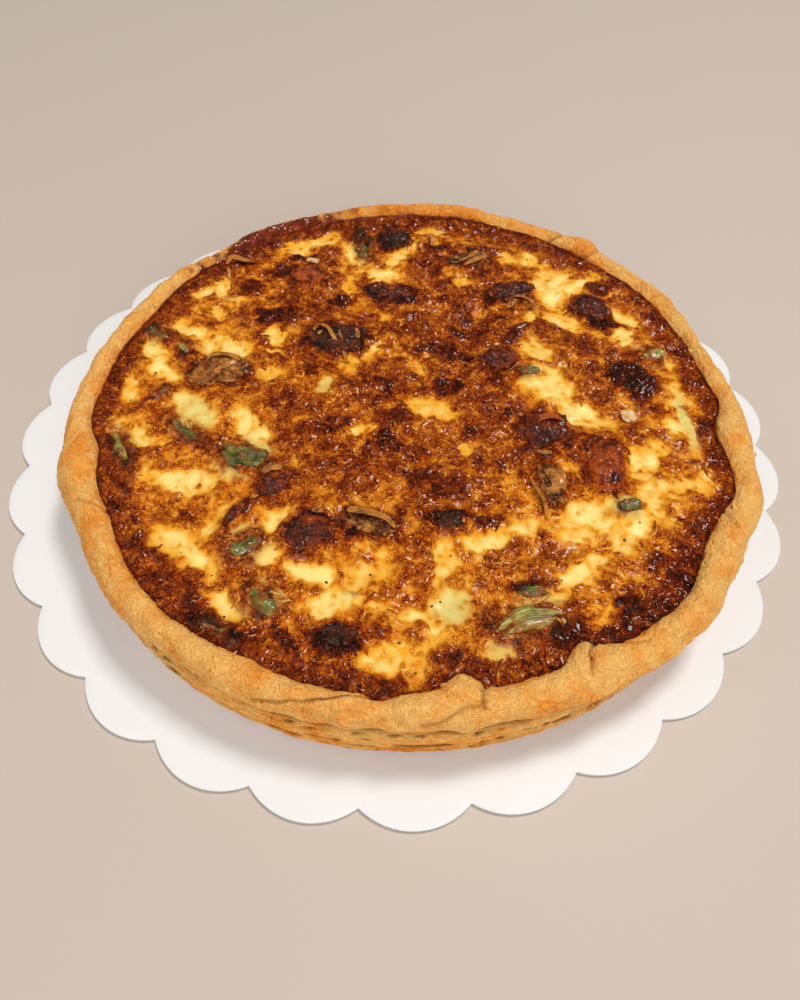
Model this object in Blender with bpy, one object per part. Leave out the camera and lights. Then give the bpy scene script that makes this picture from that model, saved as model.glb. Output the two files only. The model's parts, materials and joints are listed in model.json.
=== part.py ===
"""Baked quiche on its scalloped cake card.

Run with blender --background --python part.py, or from Blender's text editor.
The frame has +Z up and its origin under the middle of the card, on the surface that the card lies on.
Sizes are in millimetres and become Blender's metres where a mesh is made.
Azimuths are in degrees, anticlockwise from +X, about the middle of the quiche.
"""

import math

import bmesh
import bpy
from mathutils import Vector, noise

MM = 0.001

# Cake card
CARD_ACROSS = 320.0
CARD_THICK = 1.5
SCALLOPS = 28
SCALLOP_DEPTH = 7.0
SCALLOP_STEPS = 5
FIRST_CUSP_AZIMUTH = 9.2

# Quiche as a whole
QUICHE_X = 4.6
QUICHE_Y = -8.2
TOUCH_GAP = 0.3
STEPS_ROUND = 132
LIFT = CARD_THICK + TOUCH_GAP

# Pastry crust, with heights above its own underside
BASE_RADIUS = 130.4
FRONT_FLAT = 1.4
RIM_RADIUS = 132.6
FILLING_RADIUS = 120.6
CREST_HEIGHT = 29.4
CREST_RISE_TO_BACK = 1.3
RIM_WIDEST_HEIGHT = 20.6
CREASE_HEIGHT = 15.6
CREASE_DEPTH = 1.7
FLOOR_THICK = 4.0
FLAKE_RELIEF = 0.55
FLAKE_GRAIN = 8.0
LAYER_WANDER = 0.9

# Layers of the wall from its foot to the crease: height, and how far the layer stands out
WALL_LAYERS = (
    (0.0, -0.9),
    (1.6, 0.3),
    (4.2, -0.9),
    (6.8, 0.5),
    (9.4, -0.8),
    (12.4, 0.4),
)

# Rim from its widest line to the filling: share of the rim's width, and share of the climb to the crest
RIM_CURVE = (
    (0.00, 0.00),
    (0.09, 0.40),
    (0.27, 0.76),
    (0.52, 1.00),
    (0.76, 0.97),
    (0.91, 0.84),
)

# Folds and pinches of the rim: azimuth, half width, then push of the outer face, of the filling's edge,
# and rise of the crest
FOLDS = (
    (270.0, 26.0, -4.6, -0.9, -0.6),
    (232.0, 13.0, -2.0, 0.7, 0.0),
    (216.0, 6.0, -1.5, -1.4, 0.2),
    (208.0, 5.0, -2.0, -2.0, 0.5),
    (196.0, 5.0, 1.4, -3.2, 0.6),
    (186.0, 5.0, 0.6, 1.2, 0.0),
    (158.0, 9.0, -0.8, -1.2, 0.4),
    (134.0, 6.0, -2.6, -0.6, -0.5),
    (113.0, 8.0, -1.0, 0.5, -0.4),
    (94.0, 4.0, 1.0, 0.6, 0.3),
    (80.0, 6.0, 1.8, 0.0, 0.8),
    (49.0, 3.2, 4.2, -0.8, 1.8),
    (30.0, 5.0, 0.4, 1.2, -0.4),
    (12.0, 8.0, -3.6, -1.0, -0.3),
    (359.0, 3.0, 0.0, 1.6, -0.3),
    (352.0, 4.0, 0.8, -2.8, 0.9),
    (339.0, 6.0, 3.2, 4.6, -0.3),
    (328.0, 4.5, 1.2, -0.8, 0.7),
    (315.0, 9.0, 2.4, 3.8, 0.0),
    (304.0, 3.0, 0.6, 1.6, -0.4),
    (297.0, 3.0, 0.6, -4.6, 1.2),
    (278.0, 2.6, 0.9, -5.6, 1.9),
    (272.0, 4.5, 0.9, -1.2, 0.9),
    (266.5, 2.2, 0.0, 1.4, -1.6),
    (244.0, 6.0, 0.0, -1.6, 0.0),
)

# Custard filling
FILLING_HEIGHT = 26.6
FILLING_RISE_TO_BACK = 1.0
EDGE_HEIGHT = 26.6
EDGE_BAND = 0.10
SWELL_SIZE = 31.0
SWELL_HEIGHT = 1.5
LUMP_SIZE = 12.5
LUMP_HEIGHT = 1.7
FILLING_SPACING = 7.0

# Toppings half sunk in the filling
POCKET_GAP = 0.45

# Forms of topping: how many sections along and points round each solid has
CHUNK_POINTS = 9
CHUNK_RINGS = 4
LEAF_SECTIONS = 6
BAND_SECTIONS = 8
SLICE_POINTS = 16

# Toppings: name, form, x and y from the middle of the quiche, length, width, height, azimuth of the length,
# and material
TOPPINGS = (
    ("leek_slice_west", "leaf", -83.0, -20.0, 19.0, 5.5, 2.2, 140.0, "leek_green"),
    ("leek_strip_rim", "leaf", -106.0, -27.0, 21.0, 4.0, 2.0, 118.0, "leek_pale"),
    ("leek_double_band", "band", -60.0, -33.0, 17.0, 10.0, 4.2, 168.0, "leek_green"),
    ("leek_leaf_northwest", "leaf", -104.5, 32.5, 12.0, 6.0, 2.0, 143.0, "leek_green"),
    ("leek_pale_northwest", "leaf", -92.5, 23.5, 10.0, 4.0, 2.0, 122.0, "leek_pale"),
    ("leek_leaf_southwest", "leaf", -54.0, -70.5, 12.0, 8.5, 2.4, 36.0, "leek_green"),
    ("leek_dark_southwest", "leaf", -46.0, -90.0, 13.0, 7.5, 2.4, 136.0, "leek_green"),
    ("leek_flake_rim", "leaf", -60.0, -99.0, 9.0, 2.8, 1.8, 163.0, "leek_green"),
    ("leek_tube_southeast", "chunk", 40.5, -86.0, 8.5, 4.2, 4.0, 1.0, "leek_green"),
    ("leek_long_southeast", "band", 37.0, -97.0, 25.0, 7.5, 3.6, 20.0, "leek_pale"),
    ("leek_bit_east", "chunk", 77.0, -53.0, 9.0, 5.2, 4.0, 17.0, "leek_green"),
    ("leek_bar_centre", "chunk", 49.0, 12.0, 8.5, 4.2, 3.6, 1.0, "leek_green"),
    ("leek_blur_northeast", "leaf", 102.0, 24.0, 11.0, 7.0, 2.2, 17.0, "leek_pale"),
    ("leek_leaf_north", "leaf", -21.0, 95.0, 20.0, 6.0, 2.2, 100.0, "leek_green"),
    ("leek_blade_west", "leaf", -97.0, -2.0, 8.5, 2.8, 1.8, 55.0, "leek_green"),
    ("ham_large_east", "chunk", 52.0, -20.0, 20.0, 16.5, 8.0, 19.0, "browned_ham"),
    ("round_slice_east", "slice", 72.5, -35.0, 24.0, 14.0, 7.0, 82.0, "tomato_slice"),
    ("onion_tuft_east", "chunk", 51.0, -44.0, 16.0, 8.0, 6.0, 100.0, "browned_onion"),
    ("onion_curl_west", "chunk", -76.0, 11.0, 22.0, 14.0, 6.0, 1.0, "browned_onion"),
    ("ham_south", "chunk", -34.0, -65.0, 17.0, 13.0, 7.0, 33.0, "browned_ham"),
    ("onion_south", "chunk", -13.0, -61.0, 17.0, 9.0, 5.5, 167.0, "browned_onion"),
    ("ham_southwest", "chunk", -47.0, -45.0, 12.0, 8.5, 5.5, 38.0, "browned_ham"),
    ("ham_strip_southwest", "chunk", -59.0, -58.0, 10.0, 5.0, 4.5, 51.0, "browned_ham"),
    ("mushroom_gloss_south", "chunk", -21.0, -102.0, 13.0, 7.0, 5.5, 172.0, "mushroom"),
    ("mushroom_south", "chunk", 14.0, -60.0, 10.0, 6.5, 5.0, 13.0, "mushroom"),
    ("mushroom_northwest", "chunk", -30.0, 31.0, 24.0, 15.0, 6.0, 172.0, "mushroom"),
    ("ham_strip_north", "chunk", -7.0, 62.0, 22.0, 9.0, 5.5, 167.0, "browned_ham"),
    ("ham_pink_north", "chunk", -45.0, 73.0, 15.0, 12.0, 6.0, 154.0, "pink_ham"),
    ("onion_pale_north", "chunk", 28.0, 86.0, 24.0, 12.0, 5.0, 29.0, "browned_onion"),
    ("ham_centre", "chunk", 37.0, 20.0, 13.0, 9.5, 5.5, 31.0, "browned_ham"),
    ("ham_ring_north", "chunk", 46.0, 62.0, 19.0, 10.0, 5.5, 21.0, "browned_ham"),
    ("ham_northeast", "chunk", 80.0, 51.0, 16.0, 13.0, 6.0, 150.0, "browned_ham"),
    ("mushroom_back", "chunk", -6.0, 101.0, 14.0, 12.0, 5.5, 125.0, "mushroom"),
)

# Materials: colour, roughness
MATERIALS = {
    "white_card": ((0.86, 0.86, 0.85), 0.62),
    "golden_pastry": ((0.62, 0.36, 0.12), 0.66),
    "browned_custard": ((0.60, 0.24, 0.04), 0.38),
    "leek_green": ((0.20, 0.24, 0.05), 0.35),
    "leek_pale": ((0.55, 0.55, 0.20), 0.35),
    "browned_ham": ((0.16, 0.045, 0.018), 0.36),
    "pink_ham": ((0.58, 0.17, 0.08), 0.38),
    "tomato_slice": ((0.55, 0.14, 0.03), 0.32),
    "browned_onion": ((0.46, 0.22, 0.07), 0.40),
    "mushroom": ((0.075, 0.032, 0.018), 0.36),
}


def remove_old_objects():
    """Empty the scene."""
    for old in list(bpy.data.objects):
        bpy.data.objects.remove(old, do_unlink=True)


def surface_material(name):
    """Return the named material, made the first time that it is asked for."""
    material = bpy.data.materials.get(name)
    if material:
        return material
    colour, roughness = MATERIALS[name]
    material = bpy.data.materials.new(name)
    material.use_nodes = True
    shader = material.node_tree.nodes["Principled BSDF"]
    shader.inputs["Base Color"].default_value = (*colour, 1.0)
    shader.inputs["Roughness"].default_value = roughness
    shader.inputs["Metallic"].default_value = 0.0
    material.diffuse_color = (*colour, 1.0)
    return material


def face_outward(bm):
    """Make every face of a closed mesh point out."""
    bmesh.ops.recalc_face_normals(bm, faces=bm.faces)
    if bm.calc_volume(signed=True) < 0.0:
        bmesh.ops.reverse_faces(bm, faces=bm.faces)
    bm.normal_update()


def add_object(name, bm, material):
    """Turn a finished closed mesh, made in millimetres, into an object with its material."""
    face_outward(bm)
    bmesh.ops.scale(bm, vec=(MM, MM, MM), verts=bm.verts)
    mesh = bpy.data.meshes.new(name)
    bm.to_mesh(mesh)
    bm.free()
    mesh.materials.append(surface_material(material))
    obj = bpy.data.objects.new(name, mesh)
    bpy.context.scene.collection.objects.link(obj)
    return obj


def swing(azimuth, centre, half_width):
    """Return 1 at the centre azimuth, falling smoothly to 0 on both sides of it."""
    away = (azimuth - centre + 180.0) % 360.0 - 180.0
    return math.exp(-((away / half_width) ** 2))


def round_noise(azimuth, length, seed):
    """Return a value from -1 to 1 that wanders round the rim with bends of about this length."""
    turn = math.radians(azimuth)
    spread = RIM_RADIUS / length
    return noise.noise(Vector((math.cos(turn) * spread, math.sin(turn) * spread, seed)))


def folded(azimuth, column):
    """Add up what every fold does at this azimuth, from one column of the folds."""
    return sum(fold[column] * swing(azimuth, fold[0], fold[1]) for fold in FOLDS)


def base_radius(azimuth):
    """Radius of the wall's foot, a little flat at the front."""
    return BASE_RADIUS - FRONT_FLAT * swing(azimuth, 270.0, 24.0) + 0.5 * round_noise(azimuth, 40.0, 1.5)


def rim_radius(azimuth):
    """Radius of the rim's widest line."""
    return RIM_RADIUS + folded(azimuth, 2) + 0.6 * round_noise(azimuth, 22.0, 4.5)


def filling_radius(azimuth):
    """Radius of the line where the rim meets the filling."""
    return FILLING_RADIUS + folded(azimuth, 3) + 0.8 * round_noise(azimuth, 14.0, 8.5)


def crest_height(azimuth):
    """Height of the rim's crest above the crust's underside."""
    tilt = CREST_RISE_TO_BACK * math.sin(math.radians(azimuth))
    return CREST_HEIGHT + tilt + folded(azimuth, 4) + 0.6 * round_noise(azimuth, 18.0, 12.5)


def edge_height(azimuth):
    """Height of the line where the rim meets the filling."""
    tilt = CREST_RISE_TO_BACK * math.sin(math.radians(azimuth))
    return EDGE_HEIGHT + tilt + 0.5 * round_noise(azimuth, 16.0, 16.5)


def at_azimuth(azimuth, radius, height):
    """Return the point at this azimuth and radius about the quiche's middle, in the part's frame."""
    turn = math.radians(azimuth)
    return Vector((QUICHE_X + radius * math.cos(turn), QUICHE_Y + radius * math.sin(turn), LIFT + height))


def step_azimuth(step):
    """Azimuth of one of the even steps round the quiche."""
    return 360.0 * step / STEPS_ROUND


def bridge(bm, first, second):
    """Join two rings of equally many points with four-sided faces."""
    count = len(first)
    for i in range(count):
        j = (i + 1) % count
        bm.faces.new((first[i], first[j], second[j], second[i]))


def stitch(bm, outer, inner):
    """Fill the band between two rings that start at the same azimuth, whatever their numbers of points."""
    i = 0
    j = 0
    while i < len(outer) or j < len(inner):
        here = outer[i % len(outer)]
        across = inner[j % len(inner)]
        outer_next = (i + 1) / len(outer)
        inner_next = (j + 1) / len(inner)
        if j == len(inner) or (i < len(outer) and outer_next <= inner_next):
            i += 1
            bm.faces.new((here, outer[i % len(outer)], across))
        else:
            j += 1
            bm.faces.new((here, inner[j % len(inner)], across))


def make_cake_card():
    """Flat white card whose edge is a run of equal arcs."""
    tip_radius = CARD_ACROSS / 2.0
    half_turn = math.pi / SCALLOPS
    cusp_radius = (tip_radius - SCALLOP_DEPTH) / math.cos(half_turn)
    half_chord = cusp_radius * math.sin(half_turn)
    arc_radius = (half_chord**2 + SCALLOP_DEPTH**2) / (2.0 * SCALLOP_DEPTH)
    arc_centre = tip_radius - arc_radius
    arc_half = math.atan2(half_chord, tip_radius - SCALLOP_DEPTH - arc_centre)
    bm = bmesh.new()
    lower = []
    upper = []
    for scallop in range(SCALLOPS):
        middle = math.radians(FIRST_CUSP_AZIMUTH) + (2 * scallop + 1) * half_turn
        for step in range(SCALLOP_STEPS):
            swung = arc_half * (2.0 * step / SCALLOP_STEPS - 1.0)
            along = arc_centre + arc_radius * math.cos(swung)
            aside = arc_radius * math.sin(swung)
            x = along * math.cos(middle) - aside * math.sin(middle)
            y = along * math.sin(middle) + aside * math.cos(middle)
            lower.append(bm.verts.new((x, y, 0.0)))
            upper.append(bm.verts.new((x, y, CARD_THICK)))
    bridge(bm, lower, upper)
    bm.faces.new(list(reversed(lower)))
    bm.faces.new(upper)
    return add_object("cake_card", bm, "white_card")


def wall_point(azimuth, height, stand_out):
    """Point on one layer of the flaky wall, between the foot and the crease."""
    foot = base_radius(azimuth)
    crease = min(foot, rim_radius(azimuth)) - CREASE_DEPTH
    share = height / CREASE_HEIGHT
    radius = foot + (crease + CREASE_DEPTH - foot) * share**2
    radius += stand_out * (1.0 + 0.6 * round_noise(azimuth, 9.0, height))
    wander = LAYER_WANDER * round_noise(azimuth, 30.0, height + 3.0) if height > 0.0 else 0.0
    return at_azimuth(azimuth, radius, height + wander)


def crease_point(azimuth):
    """Point in the crease under the rolled rim."""
    radius = min(base_radius(azimuth), rim_radius(azimuth)) - CREASE_DEPTH
    return at_azimuth(azimuth, radius, CREASE_HEIGHT + LAYER_WANDER * round_noise(azimuth, 35.0, 21.0))


def rim_point(azimuth, inward, climb):
    """Point on the rolled rim, roughened as flaky pastry is."""
    outer = rim_radius(azimuth)
    inner = filling_radius(azimuth)
    top = crest_height(azimuth)
    radius = outer + (inner - outer) * inward
    height = RIM_WIDEST_HEIGHT + (top - RIM_WIDEST_HEIGHT) * climb
    point = at_azimuth(azimuth, radius, height)
    grain = FLAKE_RELIEF * noise.noise(point / FLAKE_GRAIN)
    return at_azimuth(azimuth, radius + grain * (1.0 - climb), height + grain * climb)


def make_pastry_crust():
    """Open pastry case: flaky wall, crease, rolled rim with its folds, and the inside down to its floor."""
    bm = bmesh.new()
    azimuths = [step_azimuth(step) for step in range(STEPS_ROUND)]
    rings = []
    for height, stand_out in WALL_LAYERS:
        rings.append([bm.verts.new(wall_point(a, height, stand_out)) for a in azimuths])
    rings.append([bm.verts.new(crease_point(a)) for a in azimuths])
    for inward, climb in RIM_CURVE:
        rings.append([bm.verts.new(rim_point(a, inward, climb)) for a in azimuths])
    rings.append([bm.verts.new(at_azimuth(a, filling_radius(a), edge_height(a))) for a in azimuths])
    rings.append([bm.verts.new(at_azimuth(a, filling_radius(a), FLOOR_THICK)) for a in azimuths])
    for lower, upper in zip(rings, rings[1:]):
        bridge(bm, lower, upper)
    bm.faces.new(list(reversed(rings[0])))
    bm.faces.new(rings[-1])
    return add_object("pastry_crust", bm, "golden_pastry")


def filling_relief(x, y):
    """Swells and lumps of the baked surface, at this place about the quiche's middle."""
    swell = SWELL_HEIGHT * noise.noise(Vector((x / SWELL_SIZE, y / SWELL_SIZE, 2.5)))
    lump = LUMP_HEIGHT * noise.noise(Vector((x / LUMP_SIZE, y / LUMP_SIZE, 6.5)))
    return swell + lump


def filling_height(x, y):
    """Height of the filling's top above the crust's underside, at this place about the quiche's middle."""
    azimuth = math.degrees(math.atan2(y, x))
    reach = filling_radius(azimuth)
    level = FILLING_HEIGHT + FILLING_RISE_TO_BACK * y / reach + filling_relief(x, y)
    near_edge = (math.hypot(x, y) / reach - (1.0 - EDGE_BAND)) / EDGE_BAND
    blend = min(max(near_edge, 0.0), 1.0)
    blend = blend * blend * (3.0 - 2.0 * blend)
    return level + (edge_height(azimuth) - level) * blend


def filling_ring(bm, share, count):
    """One ring of points on the filling's top, at this share of the way out to the rim."""
    ring = []
    for step in range(count):
        azimuth = 360.0 * step / count
        radius = (filling_radius(azimuth) - TOUCH_GAP) * share
        turn = math.radians(azimuth)
        height = filling_height(radius * math.cos(turn), radius * math.sin(turn))
        ring.append(bm.verts.new(at_azimuth(azimuth, radius, height)))
    return ring


def make_filling():
    """Baked custard that fills the crust down to its floor, with its lumpy top."""
    bm = bmesh.new()
    bottom = []
    for step in range(STEPS_ROUND):
        azimuth = step_azimuth(step)
        radius = filling_radius(azimuth) - TOUCH_GAP
        bottom.append(bm.verts.new(at_azimuth(azimuth, radius, FLOOR_THICK + TOUCH_GAP)))
    ring_total = round(FILLING_RADIUS / FILLING_SPACING)
    outer = filling_ring(bm, 1.0, STEPS_ROUND)
    bridge(bm, bottom, outer)
    bm.faces.new(list(reversed(bottom)))
    for ring in range(ring_total - 1, 0, -1):
        share = ring / ring_total
        around = 2.0 * math.pi * share * FILLING_RADIUS
        inner = filling_ring(bm, share, max(6, round(around / FILLING_SPACING)))
        stitch(bm, outer, inner)
        outer = inner
    bm.faces.new(outer)
    return add_object("custard_filling", bm, "browned_custard")


# Uneven lump: share of its box that it fills, how uneven it is, and how close its bumps lie
CHUNK_FILL = 0.88
CHUNK_UNEVEN = 0.30
CHUNK_BUMPS = 1.6

# Leaf: least share of its width, how near its ends that holds, bend as a share of its length, wave and droop
LEAF_LEAST = 0.42
LEAF_END = 0.04
LEAF_BEND = 0.08
LEAF_WAVE = 0.5
LEAF_DROOP = 0.5

# Band: least share of its width, how near its ends that holds, bend, how far the bend is set back, and wave
BAND_LEAST = 0.62
BAND_END = 0.05
BAND_BEND = 0.16
BAND_SET_BACK = 0.6
BAND_WAVE = 0.3

# Corners of a band's section: share of half its width, and share of its height
BAND_CORNERS = (
    (-1.0, -0.5),
    (1.0, -0.5),
    (1.0, 0.25),
    (0.45, 0.5),
    (0.0, 0.18),
    (-0.45, 0.5),
    (-1.0, 0.25),
)

# Round slice: rings from its foot to its top, as shares of its radius and height, and how uneven it is
SLICE_RINGS = (
    (0.86, -0.5),
    (1.0, -0.05),
    (0.86, 0.28),
    (0.48, 0.46),
)
SLICE_UNEVEN = 0.10


def swelling(along, least, end):
    """Share of the full width at this share of the length, least at the ends and full in the middle."""
    return least + (1.0 - least) * math.sin(math.pi * min(max(along, end), 1.0 - end))


def chunk_points(length, width, height, seed):
    """Rings of an uneven blocky lump, from its lowest ring to its highest, and its two end points."""
    rings = []
    for ring in range(CHUNK_RINGS):
        lean = math.pi * (ring + 1) / (CHUNK_RINGS + 1) - math.pi / 2.0
        points = []
        for i in range(CHUNK_POINTS):
            turn = 2.0 * math.pi * i / CHUNK_POINTS
            points.append(chunk_point(turn, lean, length, width, height, seed))
        rings.append(points)
    low = chunk_point(0.0, -math.pi / 2.0, length, width, height, seed)
    high = chunk_point(0.0, math.pi / 2.0, length, width, height, seed)
    return rings, low, high


def chunk_point(turn, lean, length, width, height, seed):
    """Point of a blocky lump in this direction from its middle, made uneven by noise."""
    direction = Vector((math.cos(turn) * math.cos(lean), math.sin(turn) * math.cos(lean), math.sin(lean)))
    blocky = 1.0 / (sum(abs(part) ** 3 for part in direction) ** (1.0 / 3.0))
    uneven = 1.0 + CHUNK_UNEVEN * noise.noise(direction * CHUNK_BUMPS + Vector((seed, 0.0, 0.0)))
    size = blocky * uneven * CHUNK_FILL
    return Vector((direction.x * length, direction.y * width, direction.z * height)) * (size / 2.0)


def chunk_mesh(length, width, height, seed):
    """Closed mesh of an uneven lump of meat, mushroom, onion or leek."""
    bm = bmesh.new()
    rings, low, high = chunk_points(length, width, height, seed)
    made = [[bm.verts.new(point) for point in points] for points in rings]
    foot = bm.verts.new(low)
    peak = bm.verts.new(high)
    for lower, upper in zip(made, made[1:]):
        bridge(bm, lower, upper)
    for i in range(CHUNK_POINTS):
        j = (i + 1) % CHUNK_POINTS
        bm.faces.new((made[0][j], made[0][i], foot))
        bm.faces.new((made[-1][i], made[-1][j], peak))
    bmesh.ops.triangulate(bm, faces=bm.faces)
    return bm


def leaf_mesh(length, width, height, seed):
    """Closed mesh of a thin wavy leaf, whose two faces are split alike."""
    bm = bmesh.new()
    rows = []
    for section in range(LEAF_SECTIONS + 1):
        along = section / LEAF_SECTIONS
        half = width / 2.0 * swelling(along, LEAF_LEAST, LEAF_END)
        x = length * (along - 0.5)
        wave = LEAF_WAVE * math.sin(2.0 * math.pi * along + seed)
        row = []
        for level in (-0.5, 0.5):
            for side in (-1.0, 0.0, 1.0):
                droop = -LEAF_DROOP * abs(side)
                bend = LEAF_BEND * length * math.sin(math.pi * along)
                row.append(bm.verts.new((x, side * half + bend, wave + droop + level * height)))
        rows.append(row)
    for back, front in zip(rows, rows[1:]):
        for side in (0, 1):
            bm.faces.new((back[side], back[side + 1], front[side + 1], front[side]))
            bm.faces.new((back[side + 3], front[side + 3], front[side + 4], back[side + 4]))
        bm.faces.new((back[0], front[0], front[3], back[3]))
        bm.faces.new((back[2], back[5], front[5], front[2]))
    for end, turned in ((rows[0], False), (rows[-1], True)):
        for side in (0, 1):
            corners = [end[side], end[side + 3], end[side + 4], end[side + 1]]
            bm.faces.new(corners[::-1] if turned else corners)
    bmesh.ops.triangulate(bm, faces=bm.faces, quad_method="FIXED")
    return bm


def band_mesh(length, width, height, seed):
    """Closed mesh of a cut leek's curved layers, a bent bar with a furrow along its top."""
    bm = bmesh.new()
    rows = []
    for section in range(BAND_SECTIONS + 1):
        along = section / BAND_SECTIONS
        half = width / 2.0 * swelling(along, BAND_LEAST, BAND_END)
        bend = BAND_BEND * length * (math.sin(math.pi * along) - BAND_SET_BACK)
        lift = BAND_WAVE * math.sin(3.0 * math.pi * along + seed)
        x = length * (along - 0.5)
        row = []
        for side, level in BAND_CORNERS:
            row.append(bm.verts.new((x, side * half + bend, level * height + lift)))
        rows.append(row)
    for back, front in zip(rows, rows[1:]):
        bridge(bm, back, front)
    bm.faces.new(rows[0])
    bm.faces.new(list(reversed(rows[-1])))
    bmesh.ops.triangulate(bm, faces=bm.faces)
    return bm


def slice_mesh(length, width, height, seed):
    """Closed mesh of a round slice with a domed top."""
    bm = bmesh.new()
    rings = []
    for share, level in SLICE_RINGS:
        ring = []
        for i in range(SLICE_POINTS):
            turn = 2.0 * math.pi * i / SLICE_POINTS
            round_place = Vector((math.cos(turn), math.sin(turn), seed))
            uneven = share * (1.0 + SLICE_UNEVEN * noise.noise(round_place))
            x = length / 2.0 * uneven * math.cos(turn)
            y = width / 2.0 * uneven * math.sin(turn)
            ring.append(bm.verts.new((x, y, level * height)))
        rings.append(ring)
    for lower, upper in zip(rings, rings[1:]):
        bridge(bm, lower, upper)
    bm.faces.new(list(reversed(rings[0])))
    bm.faces.new(rings[-1])
    bmesh.ops.triangulate(bm, faces=bm.faces)
    return bm


FORMS = {"chunk": chunk_mesh, "leaf": leaf_mesh, "band": band_mesh, "slice": slice_mesh}
RISES = {"chunk": 0.10, "leaf": 0.10, "band": 0.12, "slice": 0.12}


def topping_mesh(row, seed):
    """Mesh of one topping, turned and set down in its place on the filling."""
    form, x, y, length, width, height, azimuth = row[1:8]
    bm = FORMS[form](length, width, height, seed)
    level = LIFT + filling_height(x, y) + RISES[form] * height
    turn = math.radians(azimuth)
    for vert in bm.verts:
        across = vert.co.x * math.cos(turn) - vert.co.y * math.sin(turn)
        along = vert.co.x * math.sin(turn) + vert.co.y * math.cos(turn)
        vert.co = Vector((QUICHE_X + x + across, QUICHE_Y + y + along, level + vert.co.z))
    face_outward(bm)
    return bm


def pocket_cutter(row, seed):
    """Shape of the pocket round one topping, larger than it by the pocket's gap on every side."""
    bm = topping_mesh(row, seed)
    outward = [vert.normal.copy() for vert in bm.verts]
    for vert, normal in zip(bm.verts, outward):
        vert.co += normal * POCKET_GAP
    cutter = add_object(row[0] + "_pocket", bm, row[8])
    cutter.hide_render = True
    cutter.display_type = "WIRE"
    return cutter


def make_toppings(filling):
    """Every topping that shows, each in its own pocket of the filling."""
    cutters = bpy.data.collections.new("topping_pockets")
    bpy.context.scene.collection.children.link(cutters)
    for index, row in enumerate(TOPPINGS):
        seed = 3.7 * index + 1.3
        add_object(row[0], topping_mesh(row, seed), row[8])
        cutter = pocket_cutter(row, seed)
        bpy.context.scene.collection.objects.unlink(cutter)
        cutters.objects.link(cutter)
    pockets = filling.modifiers.new("pockets", "BOOLEAN")
    pockets.operation = "DIFFERENCE"
    pockets.solver = "EXACT"
    pockets.operand_type = "COLLECTION"
    pockets.collection = cutters


def main():
    """Build the whole part."""
    remove_old_objects()
    make_cake_card()
    make_pastry_crust()
    filling = make_filling()
    make_toppings(filling)


main()
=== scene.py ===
"""Looks of a baked quiche on its scalloped cake card.

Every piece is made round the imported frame: +Z up, origin under the middle of the card, metres.
Sizes and places below are in millimetres and become metres where a mesh is made.
Azimuths are in degrees, anticlockwise from +X, about the middle of the quiche.
"""

import json
import math

import bmesh
import bpy
import numpy as np
from mathutils import Matrix, Vector, noise

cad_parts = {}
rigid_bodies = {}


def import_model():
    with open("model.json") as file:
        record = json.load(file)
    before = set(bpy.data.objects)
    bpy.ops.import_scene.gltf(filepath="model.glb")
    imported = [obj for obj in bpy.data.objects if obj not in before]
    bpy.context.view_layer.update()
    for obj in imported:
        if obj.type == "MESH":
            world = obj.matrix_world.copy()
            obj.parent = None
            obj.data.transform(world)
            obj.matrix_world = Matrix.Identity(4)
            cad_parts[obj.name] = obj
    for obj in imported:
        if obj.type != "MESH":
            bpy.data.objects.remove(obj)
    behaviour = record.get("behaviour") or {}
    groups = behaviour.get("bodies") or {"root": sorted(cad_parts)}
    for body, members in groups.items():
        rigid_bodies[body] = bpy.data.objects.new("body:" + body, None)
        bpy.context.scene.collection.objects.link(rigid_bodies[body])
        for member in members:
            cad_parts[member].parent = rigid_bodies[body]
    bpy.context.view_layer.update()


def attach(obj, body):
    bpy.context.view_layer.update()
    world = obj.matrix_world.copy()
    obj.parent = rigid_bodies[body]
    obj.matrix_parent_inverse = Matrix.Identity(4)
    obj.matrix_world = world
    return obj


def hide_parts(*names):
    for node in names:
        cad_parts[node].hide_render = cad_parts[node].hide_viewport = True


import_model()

bl_info = {
    "name": "Baked quiche",
    "version": (1, 0, 0),
    "blender": (4, 5, 0),
    "location": "View3D > Sidebar > Quiche",
    "description": "Dresses the quiche's frame with its crust, custard, toppings, card and studio",
    "category": "Add Mesh",
}

MM = 0.001

# Camera of the photograph: where it looks, how far away it is, and how it is turned
CAMERA_TARGET = (1.9, -40.3, 1.5)
CAMERA_DISTANCE = 260.8
CAMERA_ELEVATION = 55.195
CAMERA_ROLL = 0.549
CAMERA_LENS = 23.4
SENSOR_WIDTH = 36.0

# Studio: half the floor's width in metres, then the sky, then the lights, each with its name, azimuth,
# elevation, distance and width in metres, power in watts and tint; the main light's width is the panel's
FLOOR_HALF = 9.0
SKY_STRENGTH = 0.25
SKY_TINT = (1.0, 0.985, 0.96, 1.0)
LIGHTS = (
    ("key_light", 50.0, 63.0, 3.4, None, 71.0, (1.0, 0.965, 0.92)),
    ("left_fill", 175.0, 48.0, 1.6, 1.0, 3.6, (0.98, 0.99, 1.0)),
    ("front_fill", 280.0, 32.0, 1.6, 1.2, 15.5, (1.0, 0.98, 0.95)),
)

# Cake card
CARD_ACROSS = 320.0
CARD_THICK = 1.5
SCALLOPS = 28
SCALLOP_DEPTH = 7.0
FIRST_CUSP_AZIMUTH = 9.2
CARD_ARC_STEPS = 22
CARD_EDGE_ROUND = 0.22

# Quiche as a whole
QUICHE_X = 4.6
QUICHE_Y = -8.2
TOUCH_GAP = 0.3
LIFT = CARD_THICK + TOUCH_GAP

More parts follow.
